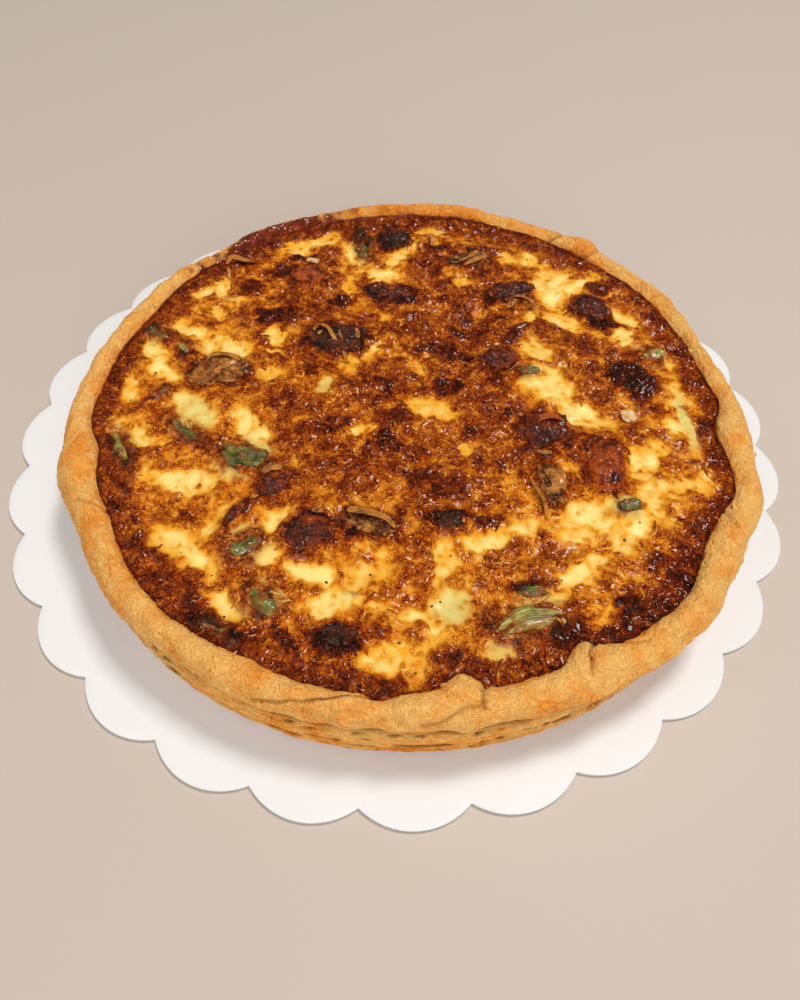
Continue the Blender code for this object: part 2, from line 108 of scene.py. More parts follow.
# Pastry crust, with heights above its own underside
BASE_RADIUS = 130.4
FRONT_FLAT = 1.4
RIM_RADIUS = 132.6
FILLING_RADIUS = 120.6
CREST_HEIGHT = 29.4
CREST_RISE_TO_BACK = 1.3
RIM_WIDEST_HEIGHT = 20.6
CREASE_HEIGHT = 15.6
CREASE_DEPTH = 1.7
FLOOR_THICK = 4.0
FLAKE_RELIEF = 0.55
FLAKE_GRAIN = 8.0
LAYER_WANDER = 0.9

# Fine relief of the crust, in millimetres
SHEET_THICK = 2.3
SHEET_HEIGHT = 1.25
PUFF_SIZE = 6.5
PUFF_HEIGHT = 0.60
WRINKLE_SIZE = 2.9
WRINKLE_HEIGHT = 0.20
CRINKLE_SIZE = 1.7
CRINKLE_HEIGHT = 0.07
WRINKLE_WARP = 2.2
WRINKLE_WARP_SIZE = 4.5

# Layers of the wall from its foot to the crease: height, and how far the layer stands out
WALL_LAYERS = (
    (0.0, -0.9),
    (1.6, 0.3),
    (4.2, -0.9),
    (6.8, 0.5),
    (9.4, -0.8),
    (12.4, 0.4),
)

# Rim from its widest line to the filling: share of the rim's width, and share of the climb to the crest
RIM_CURVE = (
    (0.00, 0.00),
    (0.09, 0.40),
    (0.27, 0.76),
    (0.52, 1.00),
    (0.76, 0.97),
    (0.91, 0.84),
)

# Folds and pinches of the rim: azimuth, half width, then push of the outer face, of the filling's edge,
# and rise of the crest
FOLDS = (
    (270.0, 26.0, -4.6, -0.9, -0.6),
    (232.0, 13.0, -2.0, 0.7, 0.0),
    (216.0, 6.0, -1.5, -1.4, 0.2),
    (208.0, 5.0, -2.0, -2.0, 0.5),
    (196.0, 5.0, 1.4, -3.2, 0.6),
    (186.0, 5.0, 0.6, 1.2, 0.0),
    (158.0, 9.0, -0.8, -1.2, 0.4),
    (134.0, 6.0, -2.6, -0.6, -0.5),
    (113.0, 8.0, -1.0, 0.5, -0.4),
    (94.0, 4.0, 1.0, 0.6, 0.3),
    (80.0, 6.0, 1.8, 0.0, 0.8),
    (49.0, 3.2, 4.2, -0.8, 1.8),
    (30.0, 5.0, 0.4, 1.2, -0.4),
    (12.0, 8.0, -3.6, -1.0, -0.3),
    (359.0, 3.0, 0.0, 1.6, -0.3),
    (352.0, 4.0, 0.8, -2.8, 0.9),
    (339.0, 6.0, 3.2, 4.6, -0.3),
    (328.0, 4.5, 1.2, -0.8, 0.7),
    (315.0, 9.0, 2.4, 3.8, 0.0),
    (304.0, 3.0, 0.6, 1.6, -0.4),
    (297.0, 3.0, 0.6, -4.6, 1.2),
    (278.0, 2.6, 0.9, -5.6, 1.9),
    (272.0, 4.5, 0.9, -1.2, 0.9),
    (266.5, 2.2, 0.0, 1.4, -1.6),
    (244.0, 6.0, 0.0, -1.6, 0.0),
)

# Lines where the rim folds over itself: azimuth and share of the section at both ends, and depth
FOLD_LINES = (
    (266.5, 1.00, 257.0, 0.72, 1.5),
    (257.0, 0.72, 249.0, 0.58, 0.9),
    (281.5, 1.00, 280.0, 0.70, 1.2),
    (280.0, 0.70, 272.0, 0.58, 0.8),
    (299.5, 1.00, 296.0, 0.72, 1.4),
    (302.0, 0.98, 305.5, 0.80, 0.7),
    (334.0, 1.00, 331.0, 0.74, 0.8),
    (209.0, 0.98, 205.0, 0.70, 0.7),
    (56.0, 0.98, 53.5, 0.66, 1.1),
    (46.5, 0.98, 45.0, 0.70, 0.9),
)
FOLD_LINE_WIDTH = 0.85
SECTION_LENGTH = 52.0

# Custard filling
FILLING_HEIGHT = 26.6
FILLING_RISE_TO_BACK = 1.0
EDGE_HEIGHT = 26.6
EDGE_BAND = 0.10
SWELL_SIZE = 31.0
SWELL_HEIGHT = 1.5
LUMP_SIZE = 12.5
LUMP_HEIGHT = 1.7

# Fine relief of the custard, in millimetres: its curds, crumbs and threads, how far the pools sink and the
# scorches swell, and how far it rises round a topping and sinks under one
CURD_SIZE = 5.0
CURD_HEIGHT = 0.95
CRUMB_SIZE = 2.4
CRUMB_HEIGHT = 1.25
THREAD_SIZE = 3.4
THREAD_HEIGHT = 0.26
POOL_SINK = 0.9
SCORCH_SWELL = 0.55
RISE_ROUND_TOPPING = 1.5
SINK_UNDER_TOPPING = 1.2

# Browning of the custard, from 0, raw, to 1, burnt: between the pools, round them, in them, in the scorches
# and along the edge
PLAIN_TOAST = 0.435
GLOW_TOAST = 0.34
POOL_TOAST = 0.08
SCORCH_TOAST = 0.90
EDGE_TOAST = 0.65

# Raggedness of the pools' and the scorches' outlines, and width of the browned edge
POOL_RAGGED = 3.4
SCORCH_RAGGED = 3.2
EDGE_WIDTH = 9.0

# How finely the fine meshes are made
RIM_STEPS = 1440
CRUST_STEPS = 960
WALL_STATIONS = 7
ROLL_STATIONS = 8
FILLING_SPACING = 0.71

# Toppings: name, form, x and y from the middle of the quiche, length, width, height, azimuth of the length,
# and material
TOPPINGS = (
    ("leek_slice_west", "leaf", -83.0, -20.0, 19.0, 5.5, 2.2, 140.0, "leek_green"),
    ("leek_strip_rim", "leaf", -106.0, -27.0, 21.0, 4.0, 2.0, 118.0, "leek_pale"),
    ("leek_double_band", "band", -60.0, -33.0, 17.0, 10.0, 4.2, 168.0, "leek_green"),
    ("leek_leaf_northwest", "leaf", -104.5, 32.5, 12.0, 6.0, 2.0, 143.0, "leek_green"),
    ("leek_pale_northwest", "leaf", -92.5, 23.5, 10.0, 4.0, 2.0, 122.0, "leek_pale"),
    ("leek_leaf_southwest", "leaf", -54.0, -70.5, 12.0, 8.5, 2.4, 36.0, "leek_green"),
    ("leek_dark_southwest", "leaf", -46.0, -90.0, 13.0, 7.5, 2.4, 136.0, "leek_green"),
    ("leek_flake_rim", "leaf", -60.0, -99.0, 9.0, 2.8, 1.8, 163.0, "leek_green"),
    ("leek_tube_southeast", "chunk", 40.5, -86.0, 8.5, 4.2, 4.0, 1.0, "leek_green"),
    ("leek_long_southeast", "band", 37.0, -97.0, 25.0, 7.5, 3.6, 20.0, "leek_pale"),
    ("leek_bit_east", "chunk", 77.0, -53.0, 9.0, 5.2, 4.0, 17.0, "leek_green"),
    ("leek_bar_centre", "chunk", 49.0, 12.0, 8.5, 4.2, 3.6, 1.0, "leek_green"),
    ("leek_blur_northeast", "leaf", 102.0, 24.0, 11.0, 7.0, 2.2, 17.0, "leek_pale"),
    ("leek_leaf_north", "leaf", -21.0, 95.0, 20.0, 6.0, 2.2, 100.0, "leek_green"),
    ("leek_blade_west", "leaf", -97.0, -2.0, 8.5, 2.8, 1.8, 55.0, "leek_green"),
    ("ham_large_east", "chunk", 52.0, -20.0, 20.0, 16.5, 8.0, 19.0, "browned_ham"),
    ("round_slice_east", "slice", 72.5, -35.0, 24.0, 14.0, 7.0, 82.0, "tomato_slice"),
    ("onion_tuft_east", "chunk", 51.0, -44.0, 16.0, 8.0, 6.0, 100.0, "browned_onion"),
    ("onion_curl_west", "chunk", -76.0, 11.0, 22.0, 14.0, 6.0, 1.0, "browned_onion"),
    ("ham_south", "chunk", -34.0, -65.0, 17.0, 13.0, 7.0, 33.0, "browned_ham"),
    ("onion_south", "chunk", -13.0, -61.0, 17.0, 9.0, 5.5, 167.0, "browned_onion"),
    ("ham_southwest", "chunk", -47.0, -45.0, 12.0, 8.5, 5.5, 38.0, "browned_ham"),
    ("ham_strip_southwest", "chunk", -59.0, -58.0, 10.0, 5.0, 4.5, 51.0, "browned_ham"),
    ("mushroom_gloss_south", "chunk", -21.0, -102.0, 13.0, 7.0, 5.5, 172.0, "mushroom"),
    ("mushroom_south", "chunk", 14.0, -60.0, 10.0, 6.5, 5.0, 13.0, "mushroom"),
    ("mushroom_northwest", "chunk", -30.0, 31.0, 24.0, 15.0, 6.0, 172.0, "mushroom"),
    ("ham_strip_north", "chunk", -7.0, 62.0, 22.0, 9.0, 5.5, 167.0, "browned_ham"),
    ("ham_pink_north", "chunk", -45.0, 73.0, 15.0, 12.0, 6.0, 154.0, "pink_ham"),
    ("onion_pale_north", "chunk", 28.0, 86.0, 24.0, 12.0, 5.0, 29.0, "browned_onion"),
    ("ham_centre", "chunk", 37.0, 20.0, 13.0, 9.5, 5.5, 31.0, "browned_ham"),
    ("ham_ring_north", "chunk", 46.0, 62.0, 19.0, 10.0, 5.5, 21.0, "browned_ham"),
    ("ham_northeast", "chunk", 80.0, 51.0, 16.0, 13.0, 6.0, 150.0, "browned_ham"),
    ("mushroom_back", "chunk", -6.0, 101.0, 14.0, 12.0, 5.5, 125.0, "mushroom"),
)

# Pale bits that are too small for a solid of their own: the same columns
PALE_BITS = (
    ("pale_bit_east", "chunk", 85.0, -11.0, 8.0, 6.5, 4.2, 120.0, "browned_onion"),
    ("pale_bit_north", "chunk", -44.4, 85.0, 7.0, 3.6, 3.6, 160.0, "browned_onion"),
)

# How finely the toppings are made
CHUNK_AROUND = 72
CHUNK_UP = 34
LEAF_AROUND = 36
LEAF_ALONG = 34
BAND_ALONG = 46
SLICE_AROUND = 72
WELD_DISTANCE = 0.02

# How much of its size each topping is crumpled by
CRUMPLE = {
    "browned_ham": 0.26,
    "pink_ham": 0.16,
    "browned_onion": 0.32,
    "mushroom": 0.30,
    "leek_green": 0.12,
    "tomato_slice": 0.20,
    "pale_bit": 0.04,
}

# How thickly melted cheese covers each topping
COVER = {"browned_ham": 0.85, "pink_ham": 0.9, "browned_onion": 0.75, "mushroom": 0.7, "tomato_slice": 0.9}

# Share of its upper half's height that each topping keeps, so that it looks sunk in the cheese
SETTLED = {
    "browned_ham": 0.66,
    "pink_ham": 0.62,
    "browned_onion": 0.62,
    "mushroom": 0.66,
    "tomato_slice": 0.62,
}

# Section of a cut leek with the furrow along its top, in shares of half its width and of its height
BAND_SECTION = (
    (-1.0, -0.5),
    (1.0, -0.5),
    (1.0, 0.25),
    (0.45, 0.5),
    (0.0, 0.18),
    (-0.45, 0.5),
    (-1.0, 0.25),
)

# Profile of the round slice, from its foot to its peak, in shares of its radius and height
SLICE_PROFILE = ((0.0, -0.5), (0.86, -0.5), (1.0, -0.05), (0.86, 0.28), (0.48, 0.46), (0.0, 0.50))

# Pale pools of the custard: x, y, half length, half width, azimuth of the length, paleness
POOLS = (
    (-50, 97, 17, 5, 23, 1), (-37, 103, 6, 5, 90, 0.9), (-25, 89, 13, 3.6, 114, 0.9),
    (-14, 76, 12, 4.5, 168, 1), (-4, 90, 13, 4, 68, 0.9), (-25, 66, 8, 5, 100, 0.55),
    (-88.5, 88.5, 3.5, 2, 60, 0.6), (-91, 62.5, 6, 4, 40, 0.9), (-84, 65, 9, 3, 100, 0.75),
    (-76, 57.5, 5, 3, 0, 0.5), (-92, 36, 9, 4, 150, 0.8), (-76, 27, 12, 5.5, 165, 1),
    (-57, 33, 6, 5, 30, 0.75), (-56, 25, 5, 3, 0, 0.7), (-106, 24, 10, 4, 118, 1),
    (-99, 11, 8, 4.5, 145, 0.9), (-111, 4, 9, 4, 95, 0.9), (-82, 47.5, 4, 3, 0, 0.5),
    (-9, 45, 5, 3.5, 0, 0.5), (-15, 25, 6, 4, 30, 0.5), (-25, 16, 6, 4, 110, 0.6), (-33, 5, 5, 4.5, 0, 0.7),
    (-56, 11, 7, 5, 0, 0.6), (12, 109, 9, 3.5, 170, 0.9), (1, 99, 8, 3.5, 90, 0.75),
    (12.5, 99, 4, 3, 90, 0.8), (57, 87.5, 7, 3, 130, 0.85), (46, 88, 6, 5, 0, 0.55),
    (66, 65, 14, 11, 100, 1), (78, 68, 6, 4, 30, 0.8), (86, 75, 5, 4, 45, 0.9), (95, 63, 6, 2, 25, 0.8),
    (95, 46, 6, 4, 150, 0.95), (86, 50, 4, 3, 90, 0.8), (92, 34, 6, 3, 90, 0.9),
    (67, 43, 10, 4.5, 140, 0.75), (53, 47, 6, 3, 50, 0.7), (54, 25, 7, 5, 120, 0.9), (56, 6, 13, 9, 130, 1),
    (109, 21, 5, 4, 90, 0.6), (107, 5, 6, 4, 60, 0.75), (3, 16, 7, 2.5, 130, 0.5), (24, 70, 5, 4, 0, 0.5),
    (19, 77, 5, 4, 0, 0.5), (-82.5, -9, 13, 6.5, 135, 0.9), (-110, -17, 8, 4.5, 105, 0.95),
    (-101, -22, 6, 4, 120, 0.75), (-60, -17, 11, 6, 115, 0.95), (-56, -25, 6, 4, 110, 0.85),
    (-79, -43, 13, 6, 175, 1), (-93, -41, 6, 4, 0, 0.8), (-65, -60, 9, 4, 60, 0.85),
    (-75, -72, 16, 6, 147, 1), (-58, -92, 9, 3.8, 147, 0.95), (-45, -61, 7, 4, 70, 0.8),
    (-45, -72.5, 6, 4, 0, 0.8), (-31, -79, 9, 5, 170, 0.95), (-25, -89, 7, 6, 0, 1),
    (-14, -90, 5, 3, 0, 0.8), (-15, -80, 6, 5, 0, 0.7), (-8, -109, 8, 6, 0, 0.8),
    (-16, -19, 7, 2.5, 35, 0.7), (10, -8, 11, 5, 170, 0.6), (22, -27, 4, 3, 0, 0.6),
    (68, -10, 12, 6, 155, 0.9), (107, -13, 15, 3, 95, 0.9), (101, -16, 5, 4, 0, 0.75),
    (94, -26, 5, 4, 0, 0.8), (86, -34, 8, 7, 0, 0.85), (108, -41, 8, 4, 60, 0.75), (96, -45, 8, 4, 20, 0.7),
    (70, -55, 20, 7, 8, 1), (86, -50, 8, 6, 90, 0.95), (75, -64, 9, 6, 50, 0.95), (57, -64, 7, 5, 0, 0.7),
    (57, -78, 13, 4.2, 32, 0.95), (27, -67, 11, 4, 10, 0.85), (12, -75, 10, 4, 80, 0.8),
    (41, -61, 7, 4, 15, 0.65), (46, -87, 9, 4, 10, 0.9), (14, -91, 7, 7, 0, 0.85),
    (6, -96, 10, 2.6, 160, 0.9), (27, -105, 7, 2.5, 160, 0.8), (3, -111, 7, 5, 90, 0.75),
    (64, -94, 5, 3, 20, 0.5),
)

# Scorched places of the custard: x, y, half length, half width, azimuth of the length, darkness
SCORCHES = (
    (90, 10, 14, 10, 110, 1), (86, 44, 9, 5, 10, 0.9), (76, 55, 9, 8, 0, 0.8), (86, 64, 6, 4, 0, 0.8),
    (40, 60, 8, 5, 20, 0.9), (47, 37, 8, 4, 60, 0.8), (15, 5, 7, 5, 0, 0.8), (15, 25, 14, 4, 170, 0.7),
    (-8, 61, 14, 6, 165, 1), (-29, 57, 6, 5, 0, 0.8), (-57, 47, 10, 6, 0, 0.8), (-70, 66, 6, 5, 0, 0.7),
    (-59, 79, 6, 5, 90, 0.8), (-50, 87, 9, 3, 20, 0.9), (-77, 88, 8, 6, 30, 0.8), (-8, 101, 9, 9, 0, 0.9),
    (-22, 104, 8, 5, 90, 0.7), (15, 97, 8, 6, 0, 0.7), (42, 116, 10, 4, 160, 1), (75, 94, 7, 5, 140, 1),
    (92, 84, 6, 5, 120, 1), (102, 70, 5, 4, 130, 0.9), (109, 47, 7, 6, 110, 0.9), (117, 17, 8, 4, 100, 1),
    (113, -30, 10, 4, 85, 0.85), (109, -53, 8, 4, 60, 0.9), (94, -75, 12, 4, 50, 1),
    (84, -75, 7, 3, 10, 0.6), (72, -91, 7, 5, 40, 1), (51, -104, 9, 8, 60, 1), (40, -114, 6, 3, 20, 1),
    (42, -83, 8, 3, 10, 0.7), (25, -59, 5, 3, 0, 0.8), (14, -59, 8, 4, 10, 0.7), (-34, -63, 9, 6, 30, 0.7),
    (-15, -60, 8, 4, 165, 0.7), (-40, -106, 9, 5, 150, 0.8), (-22, -103, 10, 5, 172, 0.8),
    (-78, -79, 13, 6, 140, 0.7), (-103, -50, 9, 5, 125, 0.9), (-6, -12, 8, 4, 0, 0.6),
    (-7, -25, 7, 5, 0, 0.6), (-28, -17, 6, 5, 0, 0.6), (-60, 29, 4, 3, 0, 0.6), (-39, 15, 5, 4, 120, 0.6),
    (10, -42, 12, 5, 165, 0.7),
)

# Places where cooked leek tints the custard green, besides those round the leeks: x, y, half length, half
# width, azimuth of the length, strength of the tint
GREEN_TINTS = (
    (-33, 5, 5, 4.5, 0, 0.6), (-82.5, -9, 13, 6.5, 135, 0.5), (107, -13, 15, 3, 95, 0.8),
    (14, -91, 7, 7, 0, 0.7), (16, 112, 4, 3, 0, 0.6), (-79, 58, 4, 3, 0, 0.6), (27, -105, 7, 2.5, 160, 0.7),
    (-17.5, -87, 3, 2, 0, 0.8),
)

# Curved strands and skins that lie on and beside the toppings: finish, width and thickness, and the points
# that each follows, as x, y and height above the custard
STRANDS = (
    (
        "browned_onion",
        1.7,
        0.9,
        ((-41, 33, 1.5), (-38, 37, 3.6), (-34, 35, 4.2), (-31, 30, 3.0), (-30, 27, 1.2)),
    ),
    ("browned_onion", 1.3, 0.8, ((-38, 28, 1.2), (-37.5, 32, 3.2), (-36, 33, 3.4))),
    ("browned_onion", 1.5, 0.8, ((-22, 36, 3.0), (-21, 32, 3.4), (-21.5, 28, 2.2))),
    ("browned_onion", 1.3, 0.7, ((-29, 33, 3.4), (-27, 27, 3.0), (-26, 21, 1.6), (-25, 17, 0.6))),
    ("browned_onion", 2.2, 0.9, ((-83, 13, 1.0), (-80, 17, 3.2), (-74, 18.5, 3.8), (-67, 16, 2.8))),
    ("browned_onion", 1.8, 0.8, ((-78, 9, 2.8), (-73, 12, 3.6), (-69, 15, 3.4))),
    ("browned_onion", 1.4, 0.7, ((-75, 6, 2.4), (-71, 10, 3.2), (-66, 12, 2.6))),
    ("browned_onion", 2.4, 1.0, ((-21, -56, 2.0), (-15, -57, 3.8), (-8, -59, 3.6), (-4, -63, 1.6))),
    ("browned_onion", 1.5, 0.8, ((-33, -57.5, 3.4), (-30.5, -58, 4.2), (-29, -57, 3.2))),
    ("browned_onion", 3.0, 0.9, ((49, -36, 2.0), (51, -40, 4.6), (52, -45, 4.8), (51, -50, 2.0))),
    ("browned_onion", 2.4, 0.9, ((53, -36, 2.0), (54.5, -40, 4.2), (55, -44, 3.6), (53.5, -48, 2.0))),
    ("browned_onion", 1.6, 0.8, ((44, -42, 0.8), (45.5, -47, 2.4), (47.5, -52, 2.8), (48, -58, 1.0))),
    ("browned_onion", 1.4, 0.8, ((47, -29, 2.4), (49.5, -30.5, 3.8), (53, -30, 2.6))),
    ("browned_onion", 2.2, 0.9, ((-52, -40, 1.2), (-49, -38.5, 3.6), (-45, -39, 3.4))),
    ("browned_onion", 1.6, 0.8, ((-55, -51, 1.4), (-53.5, -51.5, 2.6), (-52, -50.5, 1.8))),
    ("browned_onion", 1.8, 0.8, ((46, 58, 2.2), (51, 57, 3.6), (55, 53, 2.8), (57, 49, 1.0))),
    ("browned_onion", 1.4, 0.8, ((40, 53, 2.2), (45, 52, 3.2), (48, 55, 3.0))),
    ("browned_onion", 1.8, 0.9, ((-84, 80, 1.6), (-82, 84, 3.0), (-76, 83, 2.6), (-70, 84, 1.6))),
    ("browned_onion", 1.4, 0.8, ((-83, 78, 1.6), (-82, 74, 2.2), (-81.5, 71, 1.0))),
    ("browned_onion", 2.0, 0.9, ((22, 82, 1.8), (27, 85, 3.6), (33, 91, 3.2))),
    ("browned_onion", 1.8, 0.9, ((26, 80, 1.8), (31, 84, 3.6), (37, 88, 2.6))),
    ("browned_onion", 2.0, 0.9, ((11, 96, 1.2), (12, 100, 3.0), (10, 104, 1.6))),
    (
        "pink_ham",
        2.8,
        1.5,
        ((44.5, -18, 2.2), (48, -15, 4.4), (54, -13.5, 5.0), (59, -14.5, 4.2), (61.5, -17.5, 2.0)),
    ),
    ("browned_ham", 3.2, 1.8, ((34, 12, 1.0), (38, 15, 3.0), (43, 19, 3.0), (46, 19.5, 1.2))),
)

# Shares of the strands' listed height, width and thickness that are used, and how finely they are made
STRAND_ARCH = 0.72
STRAND_SPREAD = 1.30
STRAND_FLATNESS = 0.72
STRAND_STEPS = 9
STRAND_AROUND = 12

# Counts in the panel are for each square decimetre, and the trees take them for each square metre
PER_SQUARE_DECIMETRE = 100.0

# Shreds: points along one, sides of its section, and how far above a ray starts to find the custard, and
# how far down it looks, both in metres
SHRED_POINTS = 9
SHRED_SIDES = 5
RAY_START = 0.02
RAY_LENGTH = 0.05

# Domes: how finely each is made, then the kinds of small bits: name, carrier, attribute and the two values
# between which they thicken, flatness, tilt in radians, first word of their size and count, seed, finish
# and material
DOME_SEGMENTS = 8
DOME_RINGS = 5
BITS = (
    ("blisters", "custard", "toast", 0.72, 0.9, 0.6, 0.2, "blister", 5, "browned_custard", "browned_custard"),
    ("herb_flecks", "custard", "green", -1.0, -0.5, 0.5, 0.4, "fleck", 7, "herb", "leek_green"),
    ("pastry_flakes", "crust", "bake", -1.0, -0.5, 0.16, 0.35, "flake", 9, "golden_pastry", "golden_pastry"),
)


def colour(name, description, default):
    """A colour that a user can change."""
    return bpy.props.FloatVectorProperty(
        name=name, description=description, default=default, subtype="COLOR", size=3, min=0.0, max=1.0
    )


def length(name, description, default):
    """A length that a user can change, given here in millimetres."""
    return bpy.props.FloatProperty(
        name=name,
        description=description,
        default=default * MM,
        unit="LENGTH",
        subtype="DISTANCE",
        precision=5,
    )


def number(name, description, default):
    """A count that a user can change."""
    return bpy.props.IntProperty(name=name, description=description, default=default, min=0)


class QuicheSizes(bpy.types.PropertyGroup):
    """Sizes of the fine relief and of the scattered bits."""

    shred_length: length("Shred length", "Length of a shred of browned cheese", 7.5)
    shred_width: length("Shred width", "Width of a shred of browned cheese", 1.15)
    shred_curl: length("Shred curl", "How far a shred wanders from a straight line", 3.0)
    shred_count: number("Shreds", "Shreds to each square decimetre of browned custard", 420)
    blister_size: length("Blister size", "Radius of a blister in the browned edge", 0.85)
    blister_count: number("Blisters", "Blisters to each square decimetre of the dark edge", 600)
    fleck_size: length("Fleck size", "Radius of a fleck of herb or pepper", 0.5)
    fleck_count: number("Flecks", "Flecks to each square decimetre", 26)
    flake_size: length("Flake size", "Radius of a loose flake of pastry", 1.5)
    flake_count: number("Flakes", "Loose flakes to each square decimetre of crust", 24)
    light_width: length("Light width", "Width of the main light", 760.0)


class QuicheColours(bpy.types.PropertyGroup):
    """Colours of every finish."""

    cream: colour("Cream", "Barely set custard in the pale pools", (0.91, 0.69, 0.225))
    yellow: colour("Yellow", "Custard round the pools", (0.82, 0.39, 0.032))
    amber: colour("Amber", "Custard that starts to brown", (0.66, 0.170, 0.006))
    orange: colour("Orange", "Browned cheese", (0.41, 0.062, 0.002))
    russet: colour("Russet", "Well browned cheese", (0.205, 0.022, 0.001))
    umber: colour("Umber", "Nearly burnt cheese", (0.070, 0.008, 0.001))
    char: colour("Char", "Burnt cheese", (0.014, 0.004, 0.001))
    green_cream: colour("Green cream", "Custard tinted by leek", (0.52, 0.53, 0.18))
    pastry_pale: colour("Pale pastry", "Palest pastry of the rim", (0.98, 0.53, 0.145))
    pastry_gold: colour("Golden pastry", "Baked pastry", (0.97, 0.330, 0.038))
    pastry_brown: colour("Brown pastry", "Browner blotches of the pastry", (0.64, 0.170, 0.016))
    # The darkest pastry colour is also used as painted shade in the gaps between layers, the crease and the
    # fold lines
    pastry_dark: colour("Dark pastry", "Gaps between the layers", (0.13, 0.038, 0.008))
    leek_dark: colour("Dark leek", "Darkest green of the leek", (0.025, 0.035, 0.008))
    leek_mid: colour("Mid leek", "Green of the leek", (0.14, 0.14, 0.018))
    leek_light: colour("Light leek", "Pale layers of the leek", (0.40, 0.37, 0.075))
    ham_dark: colour("Dark ham", "Burnt edges of the ham", (0.022, 0.009, 0.007))
    ham_red: colour("Red ham", "Browned ham", (0.17, 0.030, 0.009))
    ham_pink: colour("Pink ham", "Ham that kept its colour", (0.46, 0.085, 0.018))
    tomato: colour("Orange slice", "The round slice", (0.42, 0.070, 0.004))
    onion_tan: colour("Tan onion", "Light strands of the onion", (0.62, 0.25, 0.045))
    bit_cream: colour("Cream bit", "Pale bits of garlic and onion", (0.78, 0.53, 0.23))
    onion_dark: colour("Dark onion", "Burnt strands of the onion", (0.060, 0.015, 0.005))
    mushroom_dark: colour("Dark mushroom", "Roasted mushroom", (0.016, 0.008, 0.004))
    mushroom_brown: colour("Brown mushroom", "Lighter side of the mushroom", (0.12, 0.036, 0.010))
    herb: colour("Herb", "Flecks of herb", (0.05, 0.06, 0.012))
    card_white: colour("Card white", "Coated white board", (0.775, 0.775, 0.785))
    card_grey: colour("Card grey", "Cut edge of the board", (0.66, 0.65, 0.63))
    floor: colour("Floor", "Pale floor of the studio", (0.54, 0.46, 0.40))


def sizes():
    """The sizes that hold now."""
    return bpy.context.scene.quiche_sizes


def colours(name):
    """One colour as four numbers."""
    return (*getattr(bpy.context.scene.quiche_colours, name), 1.0)


class Value:
    """A number that varies over a surface; arithmetic on it adds Math nodes."""

    def __init__(self, maker, socket):
        self.maker = maker
        self.socket = socket

    def maths(self, operation, first, second=0.0):
        """Result of one Math node."""
        node = self.maker.node("ShaderNodeMath", {"operation": operation}, {0: first, 1: second})
        return Value(self.maker, node.outputs[0])

    def __add__(self, other):
        return self.maths("ADD", self, other)

    def __radd__(self, other):
        return self.maths("ADD", other, self)

    def __sub__(self, other):
        return self.maths("SUBTRACT", self, other)

    def __rsub__(self, other):
        return self.maths("SUBTRACT", other, self)

    def __mul__(self, other):
        return self.maths("MULTIPLY", self, other)

    def __rmul__(self, other):
        return self.maths("MULTIPLY", other, self)

    def __pow__(self, other):
        return self.maths("POWER", self, other)

    def __rpow__(self, other):
        return self.maths("POWER", other, self)

    def steps(self, low, high):
        """0 below low, 1 above high and smooth between them."""
        settings = {"interpolation_type": "SMOOTHSTEP", "clamp": True}
        node = self.maker.node("ShaderNodeMapRange", settings, {0: self, 1: low, 2: high})
        return Value(self.maker, node.outputs[0])

    def ridge(self):
        """1 where a noise crosses its middle, falling away on both sides."""
        return 1.0 - self.maths("ABSOLUTE", self * 2.0 - 1.0) * 2.0

    def sway(self, strength, middle=0.5):
        """How far a noise lies from its middle, times a strength."""
        return (self - middle) * strength


class NodeMaker:
    """Adds nodes to one tree: type, settings first, then values and links."""

    def __init__(self, tree):
        self.tree = tree

    def node(self, kind, settings, inputs):
        """Add one node."""
        made = self.tree.nodes.new(kind)
        for name, value in settings.items():
            if name == "stops":
                self.set_stops(made.color_ramp, value)
            else:
                setattr(made, name, value)
        for key, value in inputs.items():
            target = made.inputs[key]
            source = getattr(value, "socket", value)
            if isinstance(source, bpy.types.NodeSocket):
                self.tree.links.new(source, target)
            else:
                target.default_value = source
        return made

    def set_stops(self, ramp, stops):
        """Give a colour ramp its stops."""
        while len(ramp.elements) < len(stops):
            ramp.elements.new(1.0)
        for element, (position, shade) in zip(ramp.elements, stops):
            element.position = position
            element.color = shade


